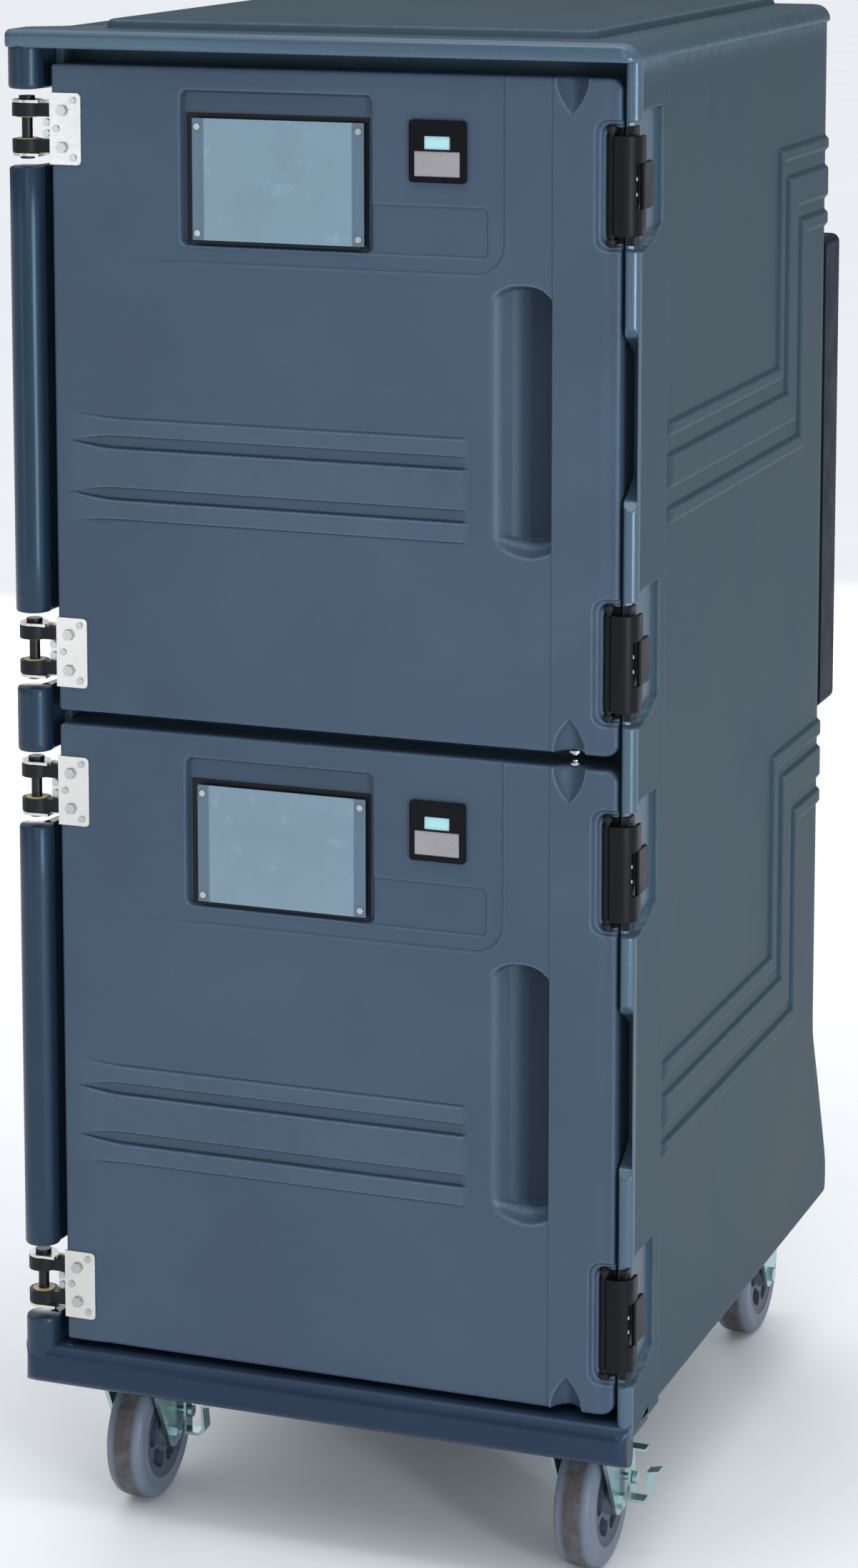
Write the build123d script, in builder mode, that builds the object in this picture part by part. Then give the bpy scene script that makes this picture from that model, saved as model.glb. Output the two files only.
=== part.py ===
"""Heated insulated food cart: two insulated compartments behind two left-hinged doors, on four
swivel casters, with a fan-heater unit on the back.

Frame: millimetres, +Z up, origin on the floor at the middle of the overall box, doors facing -Y,
hinges at -X, latches at +X.  Depths written in this file are measured back from the front face of
the doors and are turned into y by adding YD.
"""

import math
import os

from build123d import *

os.makedirs("parts", exist_ok=True)

# ------------------------------------------------------------------ driving dimensions
YD = -442.0  # y of the doors' front face

# cabinet
X_FRONT_L, X_FRONT_R = -360.0, 360.0  # ends of the top lip and of the sill
WALL_L, WALL_R = -318.0, 355.0  # side panels
BAND_L, BAND_R = -322.0, 360.0  # corner bands beside the doors
BAND_BACK = 108.0  # where the corner bands end
FRAME = 62.3  # front frame plane behind the doors
BACK = 766.0  # back wall
FLARE = 838.0  # foot of the flared back
Z_BASE, Z_LIP0, Z_TOP, Z_ROOF = 190.0, 1672.0, 1692.0, 1702.0
LIP = -12.0  # front of the lips and columns
JAMB_R, JAMB_L = -2.0, 11.0  # fronts of the right and left jambs
SKIN = 5.0

# hinges
HX, HY, COL_R = -340.0, 8.0, 20.0
HINGE_U, HINGE_L = (1585.0, 1007.0), (850.5, 279.0)
COLUMN_SPANS = ((1627.0, 1676.0), (1049.0, 1543.0), (892.0, 965.0), (321.0, 808.0), (190.0, 237.0))
PIN_R = 6.0

# doors
DX0, DX1 = -308.0, 339.0
DOOR_T, PANEL_T = 52.0, 4.0
BAND_STEP, FIELD_STEP = 1.5, 3.0
# name, bottom, top, shift of the features, latch centres, hinge centres, gasket bottom and top
DOORS = (
    ("upper", 941.0, 1655.0, 0.0, (1544.5, 1041.5), HINGE_U, 955.0, 1645.0),
    ("lower", 213.0, 925.0, -731.0, (815.0, 316.0), HINGE_L, 228.0, 913.0),
)

# latches
LX, LY = 328.0, 6.0
ROD_R = 3.5

# compartments: inside of the liners
CX0, CX1, CY1 = -255.0, 295.0, 714.0
COMP = (("upper", 980.0, 1620.0), ("lower", 252.0, 890.0))
LINER_T = 3.0
PORTS = ((-80.0, 120.0, 1040.0, 1200.0), (-80.0, 120.0, 846.0, 884.0))

# rear heater unit
UX0, UX1, UZ0, UZ1, UBACK = -316.0, 355.5, 830.0, 1410.0, 832.0
FAN_X, FAN_Z = 20.0, 1120.0
SWITCH_X, SWITCH_Z = 250.0, 1345.0
HOUSING_SCREWS = [(x, z) for x in (-300.0, 340.0) for z in (848.0, 1120.0, 1392.0)]

# casters: x of the wheel, depth of the swivel axis
CASTERS = (("fl", -252.0, 57.0), ("fr", 285.0, 57.0), ("rl", -221.0, 780.0), ("rr", 254.0, 780.0))
TRAIL, WHEEL_R, WHEEL_W = 40.0, 76.0, 45.0
AXLE_R, KING_R, RUN = 6.0, 8.0, 0.05


# ------------------------------------------------------------------ helpers
def block(x0, x1, d0, d1, z0, z1, mode=Mode.ADD):
    """A box between two corners, with depths behind the doors' front face."""
    with Locations(((x0 + x1) / 2, YD + (d0 + d1) / 2, (z0 + z1) / 2)):
        Box(x1 - x0, d1 - d0, z1 - z0, mode=mode)


def rod_z(x, d, z0, z1, r, mode=Mode.ADD):
    with Locations((x, YD + d, (z0 + z1) / 2)):
        Cylinder(r, z1 - z0, mode=mode)


def rod_y(x, z, d0, d1, r, mode=Mode.ADD):
    with Locations((x, YD + (d0 + d1) / 2, z)):
        Cylinder(r, d1 - d0, rotation=(90, 0, 0), mode=mode)


def rod_x(d, z, x0, x1, r, mode=Mode.ADD):
    with Locations(((x0 + x1) / 2, YD + d, z)):
        Cylinder(r, x1 - x0, rotation=(0, 90, 0), mode=mode)


def face(d):
    """Sketch plane parallel to the doors: local x is x, local y is z; extrude(+) goes forward."""
    return Plane.XZ.offset(-(YD + d))


def save(part, name, color):
    part.label = name
    part.color = Color(*color)
    export_step(part, "parts/" + name + ".step")


BODY_C = (0.30, 0.36, 0.44)
BLACK_C = (0.07, 0.07, 0.08)
STEEL_C = (0.75, 0.76, 0.78)
ZINC_C = (0.60, 0.72, 0.70)
GREY_C = (0.55, 0.58, 0.62)


# ------------------------------------------------------------------ cabinet
# Space inside the moulded shell, filled with foam around the liners.
back_line = [(BACK, 420.0), (790.0, 361.0), (FLARE, 232.0), (FLARE, 202.0), (828.0, Z_BASE)]
inner_line = [(BACK - 5, 419.0), (785.4, 360.0), (FLARE - 5, 231.0), (FLARE - 5, 200.0)]

with BuildPart() as cavity:
    with BuildSketch(Plane.YZ.offset(-313.0)):
        with BuildLine():
            pts = [(FRAME + SKIN, 200.0), (FRAME + SKIN, 1687.0), (BACK - 5, 1687.0)] + inner_line
            Polyline(*[(YD + d, z) for d, z in pts], close=True)
        make_face()
    extrude(amount=350.0 + 313.0)
    # the right wall is thicker where the latch pockets are
    block(345.0, 351.0, FRAME, 90.0, 199.0, 1688.0, mode=Mode.SUBTRACT)

RIBS_U = ((1535.0, 17.0, 552.0, 1282.0), (1500.0, 39.0, 588.0, 1247.0), (1446.0, 19.0, 645.0, 1189.0))
RIBS_L = ((819.0, 22.0, 548.0, 576.0), (786.0, 40.0, 590.0, 538.0), (733.0, 20.0, 645.0, 485.0))

with BuildPart() as outer_shell:
    # top cap with the overhanging front lip
    with BuildSketch(Plane.XY.offset(Z_LIP0)):
        with BuildLine():
            Polyline(
                (X_FRONT_L, YD + LIP), (X_FRONT_R, YD + LIP), (X_FRONT_R, YD + BACK), (BAND_L, YD + BACK),
                (BAND_L, YD + 70), (X_FRONT_L, YD + 40), close=True,
            )
        make_face()
        fillet(vertices().filter_by_position(Axis.X, BAND_L - 50, BAND_L - 1), 8)
        fillet(vertices().filter_by_position(Axis.X, X_FRONT_R - 1, X_FRONT_R + 1), 16)
    extrude(amount=Z_TOP - Z_LIP0)
    fillet(edges().group_by(Axis.Z)[-1], 7)
    # raised roof panel
    with BuildSketch(Plane.XY.offset(Z_TOP - 1)):
        with Locations((19.0, YD + 385.0)):
            RectangleRounded(562.0, 710.0, 22.0)
    extrude(amount=Z_ROOF - Z_TOP + 1, taper=20)
    # main body with the flared back
    with BuildSketch(Plane.YZ.offset(WALL_L)):
        with BuildLine():
            pts = [(FRAME, Z_BASE), (FRAME, Z_LIP0 + 5), (BACK, Z_LIP0 + 5)] + back_line
            Polyline(*[(YD + d, z) for d, z in pts], close=True)
        make_face()
    extrude(amount=WALL_R - WALL_L)
    # corner bands and jambs
    block(WALL_R - 1, BAND_R, FRAME, BAND_BACK, Z_BASE, Z_LIP0 + 1)
    block(343.0, BAND_R, JAMB_R, FRAME, Z_BASE, Z_LIP0 + 1)
    block(BAND_L, -311.0, JAMB_L, FRAME, Z_BASE, Z_LIP0 + 1)
    block(BAND_L, WALL_L + 1, FRAME, BAND_BACK, Z_BASE, Z_LIP0 + 1)
    # sill and hanging front apron
    with BuildSketch(Plane.YZ.offset(X_FRONT_L)):
        with BuildLine():
            pts = [(FRAME, 206.0), (8.0, 206.0), (-8.0, 196.0), (LIP, 190.0), (LIP, 166.0), (-7.0, 160.0),
                   (4.0, 160.0), (9.0, 186.0), (9.0, Z_BASE), (FRAME, Z_BASE)]
            Polyline(*[(YD + d, z) for d, z in pts], close=True)
        make_face()
    extrude(amount=X_FRONT_R - X_FRONT_L)
    # half-round hinge columns on webs
    for z0, z1 in COLUMN_SPANS:
        with BuildSketch(Plane.XY.offset(z0)):
            with Locations((HX, YD + HY)):
                Circle(COL_R)
            with Locations((-325.5, YD + 22.0)):
                Rectangle(25.0, 22.0)
        extrude(amount=z1 - z0)
    # nested stepped ribs on both sides, carried round onto the back
    for group in (RIBS_U, RIBS_L):
        for top, h, v, low in group:
            pts = [(BACK + 7, top), (v, top), (v, low), (113.0, low), (113.0, low - h), (v + h, low - h),
                   (v + h, top - h), (BACK + 7, top - h)]
            for x_start, reach in ((WALL_R - 10, 14.0), (WALL_L + 10, -13.0)):
                with BuildSketch(Plane.YZ.offset(x_start)):
                    with BuildLine():
                        Polyline(*[(YD + d, z) for d, z in pts], close=True)
                    make_face()
                extrude(amount=reach)
    # finger recesses in the right jamb, beside the middle of each door
    for zc in (1301.0, 577.0):
        with BuildSketch(Plane.YZ.offset(342.0)):
            with BuildLine():
                Polyline((YD - 3, zc - 96), (YD + 16, zc - 72), (YD + 16, zc + 72), (YD - 3, zc + 96), close=True)
            make_face()
        extrude(amount=19.0, mode=Mode.SUBTRACT)
    # latch notches in the jamb and pockets in the side
    for z in (1544.5, 1041.5, 815.0, 316.0):
        block(342.0, 361.0, JAMB_R - 1, 8.0, z - 67, z + 67, mode=Mode.SUBTRACT)
        with BuildSketch(Plane.YZ.offset(350.5)):
            with BuildLine():
                Polyline(
                    (YD - 3, z - 67), (YD + 28, z - 67), (YD + 78, z - 45), (YD + 78, z + 77), (YD + 20, z + 77),
                    (YD - 3, z + 67), close=True,
                )
            make_face()
        extrude(amount=11.0, mode=Mode.SUBTRACT)
    # hollow, front mouths, ports to the heater unit
    add(cavity.part, mode=Mode.SUBTRACT)
    for _, z0, z1 in COMP:
        block(CX0 - LINER_T, CX1 + LINER_T, FRAME - 1, FRAME + SKIN + 1, z0 - LINER_T, z1 + LINER_T, mode=Mode.SUBTRACT)
    for x0, x1, z0, z1 in PORTS:
        block(x0, x1, BACK - 6, BACK + 1, z0, z1, mode=Mode.SUBTRACT)
    # screw holes: hinge brackets, heater unit, caster bolts
    for zc in HINGE_U + HINGE_L:
        for dz in (-6.0, 6.0):
            rod_y(-316.5, zc + dz, 10.0, 24.0, 2.0, mode=Mode.SUBTRACT)
    for x, z in HOUSING_SCREWS:
        rod_y(x, z, BACK - 4, BACK + 1, 2.5, mode=Mode.SUBTRACT)
    for _, x, d in CASTERS:
        for dx in (-38.0, 38.0):
            for dd in (-33.0, 33.0):
                rod_z(x + dx, d + dd, Z_BASE - 1, 199.0, 4.0, mode=Mode.SUBTRACT)
save(outer_shell.part, "outer_shell", BODY_C)

for name, z0, z1 in COMP:
    with BuildPart() as liner:
        block(CX0 - LINER_T, CX1 + LINER_T, 59.3, CY1 + LINER_T, z0 - LINER_T, z1 + LINER_T)
        # front flange inside the gasket line
        block(CX0 - 10, CX1 + 10, 59.3, FRAME, z0 - 10, z1 + 10)
        block(CX0, CX1, 58.0, CY1, z0, z1, mode=Mode.SUBTRACT)
        # moulded pan rails on both walls
        n = int((z1 - z0 - 60) // 75)
        for k in range(n):
            zr = z0 + 75.0 * (k + 1)
            for x_wall, sx in ((CX0, 1), (CX1, -1)):
                with BuildSketch(Plane.XZ.offset(-(YD + 84.0))):
                    with BuildLine():
                        Polyline(
                            (x_wall - sx * 1.0, zr - 14), (x_wall, zr - 14), (x_wall + sx * 9, zr - 3), (x_wall + sx * 9, zr),
                            (x_wall - sx * 1.0, zr), close=True,
                        )
                    make_face()
                extrude(amount=-600.0)
        for x0, x1, p0, p1 in PORTS:
            if p0 > z0 and p1 < z1:
                block(x0, x1, CY1 - 1, CY1 + LINER_T + 1, p0, p1, mode=Mode.SUBTRACT)
    save(liner.part, name + "_liner", GREY_C)

with BuildPart() as foam_core:
    add(cavity.part)
    for _, z0, z1 in COMP:
        block(CX0 - LINER_T, CX1 + LINER_T, FRAME, CY1 + LINER_T, z0 - LINER_T, z1 + LINER_T, mode=Mode.SUBTRACT)
    for x0, x1, z0, z1 in PORTS:
        block(x0, x1, CY1, BACK, z0, z1, mode=Mode.SUBTRACT)
save(foam_core.part, "foam_core", (0.85, 0.80, 0.60))

# ------------------------------------------------------------------ hinge hardware on the cabinet
with BuildPart() as hinge_brackets:
    for zc in HINGE_U + HINGE_L:
        for z0 in (zc + 27.5, zc - 30.5):
            with BuildSketch(Plane.XY.offset(z0)):
                with Locations((HX, YD + HY)):
                    Circle(16.0)
                with Locations((-328.0, YD + 2.0)):
                    Rectangle(16.0, 18.0)
                with Locations((HX, YD + HY)):
                    Circle(PIN_R, mode=Mode.SUBTRACT)
            extrude(amount=3.0)
        block(-321.5, -311.5, 8.0, 11.0, zc - 30.5, zc + 30.5)
        block(-321.5, -319.5, 0.0, 8.5, zc + 27.5, zc + 30.5)
        for dz in (-6.0, 6.0):
            rod_y(-316.5, zc + dz, 7.0, 12.0, 2.0, mode=Mode.SUBTRACT)
save(hinge_brackets.part, "hinge_brackets", STEEL_C)

with BuildPart() as hinge_pins:
    for zc in HINGE_U + HINGE_L:
        rod_z(HX, HY, zc - 34.0, zc + 34.0, PIN_R)
        rod_z(HX, HY, zc + 30.5, zc + 34.5, 9.0)
        rod_z(HX, HY, zc - 34.0, zc - 31.5, 8.0)
save(hinge_pins.part, "hinge_pins", BLACK_C)

with BuildPart() as cabinet_screws:
    for zc in HINGE_U + HINGE_L:
        for dz in (-6.0, 6.0):
            rod_y(-316.5, zc + dz, 8.0, 22.0, 2.0)
            rod_y(-316.5, zc + dz, 5.8, 8.0, 4.0)
    for x, z in HOUSING_SCREWS:
        rod_y(x, z, BACK - 4, UBACK, 2.5)
        rod_y(x, z, UBACK, UBACK + 2.5, 5.5)
        rod_y(x, z, UBACK + 1.0, UBACK + 3.0, 1.6, mode=Mode.SUBTRACT)
save(cabinet_screws.part, "cabinet_screws", STEEL_C)

with BuildPart() as latch_keepers:
    for z in (1544.5, 1041.5, 815.0, 316.0):
        block(350.5, 352.3, 3.0, 19.0, z - 18, z + 18)
        block(350.5, 353.0, 8.0, 13.0, z - 14, z + 14)
save(latch_keepers.part, "latch_keepers", BLACK_C)

# ------------------------------------------------------------------ rear heater unit
with BuildPart() as heater_housing:
    with BuildSketch(face(UBACK)):
        with Locations(((UX0 + UX1) / 2, (UZ0 + UZ1) / 2)):
            RectangleRounded(UX1 - UX0, UZ1 - UZ0, 10.0)
    extrude(amount=UBACK - BACK)
    fillet(faces().sort_by(Axis.Y)[-1].edges(), 6)
    block(UX0 + 4, UX1 - 4, BACK - 1, UBACK - 4, UZ0 + 4, UZ1 - 4, mode=Mode.SUBTRACT)
    for x, z in HOUSING_SCREWS:
        rod_y(x, z, BACK, UBACK - 3, 9.0)
        rod_y(x, z, BACK - 1, UBACK + 1, 2.5, mode=Mode.SUBTRACT)
    # intake and exhaust louvres
    for xc, zc, count in ((-150.0, 1320.0, 8), (20.0, 925.0, 8)):
        for k in range(count):
            block(xc - 80, xc + 80, UBACK - 6, UBACK + 1, zc - 52 + 15 * k - 3, zc - 52 + 15 * k + 3, mode=Mode.SUBTRACT)
    # openings behind the control panel
    block(SWITCH_X - 8.5, SWITCH_X + 8.5, UBACK - 6, UBACK + 1, SWITCH_Z - 14, SWITCH_Z + 14, mode=Mode.SUBTRACT)
    block(92.0, 138.0, UBACK - 6, UBACK + 1, 1270.0, 1300.0, mode=Mode.SUBTRACT)
    for x in (185.0, 210.0):
        rod_y(x, SWITCH_Z, UBACK - 6, UBACK + 1, 5.0, mode=Mode.SUBTRACT)
save(heater_housing.part, "heater_housing", (0.16, 0.19, 0.25))

with BuildPart() as control_panel:
    with BuildSketch(face(UBACK + 3)):
        with Locations((185.0, 1322.0)):
            RectangleRounded(230.0, 140.0, 6.0)
    extrude(amount=3.0)
    block(SWITCH_X - 8.5, SWITCH_X + 8.5, UBACK - 1, UBACK + 4, SWITCH_Z - 14, SWITCH_Z + 14, mode=Mode.SUBTRACT)
    block(92.0, 138.0, UBACK - 1, UBACK + 4, 1270.0, 1300.0, mode=Mode.SUBTRACT)
    # power inlet, a recessed body with three flat pins
    block(92.0, 138.0, UBACK - 20, UBACK + 3.5, 1270.0, 1300.0)
    block(96.0, 134.0, UBACK - 15, UBACK + 5, 1274.0, 1296.0, mode=Mode.SUBTRACT)
    for x, z in ((106.0, 1281.0), (124.0, 1281.0), (115.0, 1289.0)):
        block(x - 1.2, x + 1.2, UBACK - 16, UBACK, z - 3, z + 3)
    # indicator lamps
    for x in (185.0, 210.0):
        rod_y(x, SWITCH_Z, UBACK - 3, UBACK + 4, 5.0)
        rod_y(x, SWITCH_Z, UBACK + 3, UBACK + 5, 6.5)
save(control_panel.part, "control_panel", (0.20, 0.21, 0.23))

with BuildPart() as rocker_switch:
    # rocker, resting tipped with its lower half pressed in
    with BuildSketch(Plane.YZ.offset(SWITCH_X - 7.5)):
        with BuildLine():
            Polyline(
                (YD + UBACK - 3, SWITCH_Z - 10), (YD + UBACK + 3.2, SWITCH_Z - 11), (YD + UBACK + 4.2, SWITCH_Z),
                (YD + UBACK + 6.6, SWITCH_Z + 11), (YD + UBACK - 1, SWITCH_Z + 11.5), (YD + UBACK - 6, SWITCH_Z), close=True,
            )
        make_face()
    extrude(amount=15.0)
    # stub pivots on the turning axis
    rod_x(UBACK - 2.0, SWITCH_Z, SWITCH_X - 8.3, SWITCH_X + 8.3, 1.5)
save(rocker_switch.part, "rocker_switch", BLACK_C)

with BuildPart() as heater_core:
    # heating ring on three posts
    with BuildSketch(face(788.0)):
        with Locations((FAN_X, FAN_Z)):
            Circle(86.0)
            Circle(78.0, mode=Mode.SUBTRACT)
    extrude(amount=8.0)
    fillet(edges(), 2.5)
    for a in (30, 150, 270):
        rod_y(FAN_X + 82 * math.cos(math.radians(a)), FAN_Z + 82 * math.sin(math.radians(a)), BACK, 783.0, 2.0)
    # motor on the housing wall, behind the fan
    rod_y(FAN_X, FAN_Z, 807.0, UBACK - 4, 32.0)
    rod_y(FAN_X, FAN_Z, 822.0, UBACK - 4, 44.0)
    rod_y(FAN_X, FAN_Z, 806.0, 826.0, 4.0 + RUN, mode=Mode.SUBTRACT)
    # terminal block
    block(200.0, 250.0, BACK, 790.0, 1180.0, 1210.0)
save(heater_core.part, "heater_core", STEEL_C)

with BuildPart() as fan_wheel:
    rod_y(FAN_X, FAN_Z, 800.0, 802.0, 62.0)
    rod_y(FAN_X, FAN_Z, 790.0, 806.0, 10.0)
    rod_y(FAN_X, FAN_Z, 788.0, 824.0, 4.0)
    with Locations((FAN_X, YD + 779.0, FAN_Z)):
        Cylinder(62.0, 2.0, rotation=(90, 0, 0))
        Cylinder(50.0, 3.0, rotation=(90, 0, 0), mode=Mode.SUBTRACT)
    for k in range(18):
        a = math.radians(20 * k)
        with Locations(Location((FAN_X + 55 * math.cos(a), YD + 790.0, FAN_Z + 55 * math.sin(a)), (0, -math.degrees(a) + 30, 0))):
            Box(11.0, 21.0, 1.6)
save(fan_wheel.part, "fan_wheel", STEEL_C)

with BuildPart() as air_ducts:
    for z0, z1, slots in ((1000.0, 1500.0, 5), (300.0, 888.0, 6)):
        block(-150.0, 190.0, 690.0, CY1, z0, z1)
        block(-148.5, 188.5, 691.5, CY1 + 1, z0 + 1.5, z1 - 1.5, mode=Mode.SUBTRACT)
        for k in range(slots):
            for xc in (-90.0, 20.0, 130.0):
                with Locations((xc, YD + 690.5, z0 + 60 + k * (z1 - z0 - 120) / (slots - 1))):
                    Box(80.0, 5.0, 8.0, mode=Mode.SUBTRACT)
save(air_ducts.part, "air_ducts", STEEL_C)

# ------------------------------------------------------------------ doors
for name, z0, z1, shift, latch_z, hinge_z, g0, g1 in DOORS:

    def zf(z):
        """Height of a feature, given on the upper door."""
        return z + shift

    zm, h = (z0 + z1) / 2, z1 - z0
    xm, w = (DX0 + DX1) / 2, DX1 - DX0

    # foam filling: the space inside the door skin, less a margin round each recess
    with BuildPart() as door_foam:
        block(DX0 + 5, DX1 - 5, 6.5, DOOR_T, z0 + 5, z1 - 5)
        block(-162.0, 67.0, 0.0, 17.0, zf(1459), zf(1635), mode=Mode.SUBTRACT)
        block(103.0, 173.0, 0.0, 19.0, zf(1538), zf(1610), mode=Mode.SUBTRACT)
        rod_y(138.0, zf(1574), 0.0, DOOR_T + 1, 8.0, mode=Mode.SUBTRACT)
        block(194.0, 269.0, 0.0, 33.0, zf(1142), zf(1439), mode=Mode.SUBTRACT)
        for lz in latch_z:
            block(305.0, DX1, 0.0, 22.0, lz - 74, lz + 74, mode=Mode.SUBTRACT)
        for hz in hinge_z:
            block(DX0, -269.0, 0.0, 24.0, hz - 45, hz + 45, mode=Mode.SUBTRACT)
        for ze in (z0, z1):
            block(262.0, 310.0, 0.0, 22.0, ze - 42, ze + 42, mode=Mode.SUBTRACT)
    save(door_foam.part, name + "_door_foam", (0.85, 0.80, 0.60))

    # moulded outer skin
    with BuildPart() as door_shell:
        with BuildSketch(face(0.0)):
            with Locations((xm, zm)):
                Rectangle(w, h)
            fillet(vertices().group_by(Axis.X)[-1], 14)
            fillet(vertices().group_by(Axis.X)[0], 4)
        extrude(amount=-DOOR_T)
        fillet(faces().sort_by(Axis.Y)[0].edges(), 3.5)
        # shallow main field, deeper upper field
        block(-265.0, 262.0, -1.0, BAND_STEP, z0 - 1, z1 + 1, mode=Mode.SUBTRACT)
        block(-205.0, 212.0, 0.0, FIELD_STEP, zf(1445), z1 + 1, mode=Mode.SUBTRACT)
        # three raised bands
        for b0, b1, xa, xb in ((1252, 1270, -258, 170), (1195, 1237, -262, 165), (1160, 1180, -258, 172)):
            with BuildSketch(face(BAND_STEP + 1)):
                with Locations(((xa + xb) / 2, zf((b0 + b1) / 2))):
                    RectangleRounded(xb - xa, b1 - b0, 6.0)
            extrude(amount=2.5)
        # document holder recess, instrument pocket, blank nameplate recess
        with BuildSketch(face(0.0)):
            with Locations((-47.5, zf(1547))):
                RectangleRounded(219.0, 166.0, 6.0)
        extrude(amount=-12.0, mode=Mode.SUBTRACT)
        block(108.0, 168.0, 0.0, 14.0, zf(1543), zf(1605), mode=Mode.SUBTRACT)
        rod_y(138.0, zf(1574), 13.0, DOOR_T + 1, 3.0, mode=Mode.SUBTRACT)
        with BuildSketch(face(FIELD_STEP)):
            with Locations((127.5, zf(1489.5))):
                RectangleRounded(131.0, 53.0, 5.0)
        extrude(amount=-1.8, mode=Mode.SUBTRACT)
        # pull recess with a deep right side
        with BuildSketch(Plane.XY.offset(zf(1150))):
            with BuildLine():
                Polyline((198.0, YD + 2.5), (199.0, YD - 1.0), (264.0, YD - 1.0), (264.0, YD + 20.0))
                Spline((264.0, YD + 20.0), (252.0, YD + 28.0), (230.0, YD + 20.0), (212.0, YD + 8.0), (198.0, YD + 2.5))
            make_face()
        extrude(amount=282.0, mode=Mode.SUBTRACT)
        # half-round scoops at the top and bottom edges
        for ze, s in ((z0, 1), (z1, -1)):
            with BuildSketch(face(16.0)):
                with BuildLine():
                    Polyline((303.0, ze - s * 2), (303.0, ze + s * 2))
                    ThreePointArc((303.0, ze + s * 2), (297.0, ze + s * 24), (286.0, ze + s * 35))
                    ThreePointArc((286.0, ze + s * 35), (275.0, ze + s * 24), (269.0, ze + s * 2))
                    Polyline((269.0, ze + s * 2), (269.0, ze - s * 2), (303.0, ze - s * 2))
                make_face()
            extrude(amount=20.0, mode=Mode.SUBTRACT)
        # latch recesses, open to the door's edge
        for lz in latch_z:
            with BuildSketch(face(16.0)):
                with Locations((331.0, lz)):
                    RectangleRounded(40.0, 136.0, 8.0)
            extrude(amount=20.0, mode=Mode.SUBTRACT)
        # hinge pockets and leaf seats
        for hz in hinge_z:
            block(DX0 - 1, -275.0, -1.0, 18.0, hz - 26.5, hz + 26.5, mode=Mode.SUBTRACT)
            block(DX0 - 1, -272.0, -1.0, 0.5, hz - 39, hz + 39, mode=Mode.SUBTRACT)
            for dz in (-31.0, 31.0):
                rod_y(-281.0, hz + dz, 0.0, 14.0, 2.0, mode=Mode.SUBTRACT)
        for dx in (-137.0, 48.0):
            for sz in (1477.5, 1592.0):
                rod_y(dx, zf(sz), 11.0, 16.0, 1.5, mode=Mode.SUBTRACT)
        add(door_foam.part, mode=Mode.SUBTRACT)
        # clearance round the probe, sealed by the bezel
        rod_y(138.0, zf(1574), 20.0, DOOR_T + 1, 8.0, mode=Mode.SUBTRACT)
    save(door_shell.part, name + "_door_shell", BODY_C)

    with BuildPart() as door_inner:
        with BuildSketch(face(DOOR_T + PANEL_T)):
            with Locations((xm, zm)):
                RectangleRounded(w - 6, h - 6, 10.0)
        extrude(amount=PANEL_T)
        rod_y(138.0, zf(1574), DOOR_T - 1, DOOR_T + 6, 3.0, mode=Mode.SUBTRACT)
    save(door_inner.part, name + "_door_inner", BODY_C)

    with BuildPart() as door_gasket:
        with BuildSketch(face(62.0)):
            with Locations((20.0, (g0 + g1) / 2)):
                RectangleRounded(600.0, g1 - g0, 14.0)
                RectangleRounded(576.0, g1 - g0 - 24.0, 6.0, mode=Mode.SUBTRACT)
        extrude(amount=6.0)
        fillet(faces().sort_by(Axis.Y)[-1].edges(), 2.5)
    save(door_gasket.part, name + "_door_gasket", BLACK_C)

    # knuckle arms: a block under each leaf and two arms reaching round the hinge pin
    with BuildPart() as hinge_arms:
        for hz in hinge_z:
            block(DX0, -275.0, 0.5, 18.0, hz - 26.5, hz + 26.5)
            for a0 in (hz + 12.5, hz - 26.5):
                with BuildSketch(Plane.XY.offset(a0)):
                    with Locations((HX, YD + HY)):
                        Circle(16.5)
                    with Locations(((HX + DX0 + 4) / 2, YD + 3.75)):
                        Rectangle(DX0 + 4 - HX, 7.5)
                    with Locations((HX, YD + HY)):
                        Circle(9.0, mode=Mode.SUBTRACT)
                extrude(amount=14.0)
            # no arm material in front of the leaf seat
            block(DX0 - 1.5, -274.0, -1.0, 0.5, hz - 27, hz + 27, mode=Mode.SUBTRACT)
            for dx, dz, r in ((-294.0, -20.0, 3.5), (-294.0, 20.0, 3.5), (-301.0, 0.0, 2.0)):
                rod_y(dx, hz + dz, 0.0, 15.0, r, mode=Mode.SUBTRACT)
    save(hinge_arms.part, name + "_hinge_arms", BLACK_C)

    with BuildPart() as hinge_bushes:
        for hz in hinge_z:
            for s in (1, -1):
                za, zb = hz + s * 11.5, hz + s * 27.2
                rod_z(HX, HY, min(za, zb), max(za, zb), 9.0)
                for c in (hz + s * 12.0, hz + s * 26.85):
                    t = 0.5 if abs(c - hz) < 20 else 0.35
                    rod_z(HX, HY, c - t, c + t, 12.5)
                rod_z(HX, HY, min(za, zb) - 1, max(za, zb) + 1, PIN_R + RUN, mode=Mode.SUBTRACT)
    save(hinge_bushes.part, name + "_hinge_bushes", (0.80, 0.75, 0.45))

    with BuildPart() as hinge_leaves:
        for hz in hinge_z:
            with BuildSketch(face(-1.5)):
                with Locations((-290.5, hz)):
                    Rectangle(37.0, 78.0)
                fillet(vertices().filter_by_position(Axis.Y, hz - 60, hz + 60).filter_by_position(Axis.X, -275, -270), 5)
            extrude(amount=-2.0)
            for dx, dz, r in ((-294.0, -20.0, 3.5), (-294.0, 20.0, 3.5), (-301.0, 0.0, 2.0), (-281.0, 31.0, 2.0), (-281.0, -31.0, 2.0)):
                rod_y(dx, hz + dz, -3.0, 1.0, r, mode=Mode.SUBTRACT)
    save(hinge_leaves.part, name + "_hinge_leaves", STEEL_C)

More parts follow.
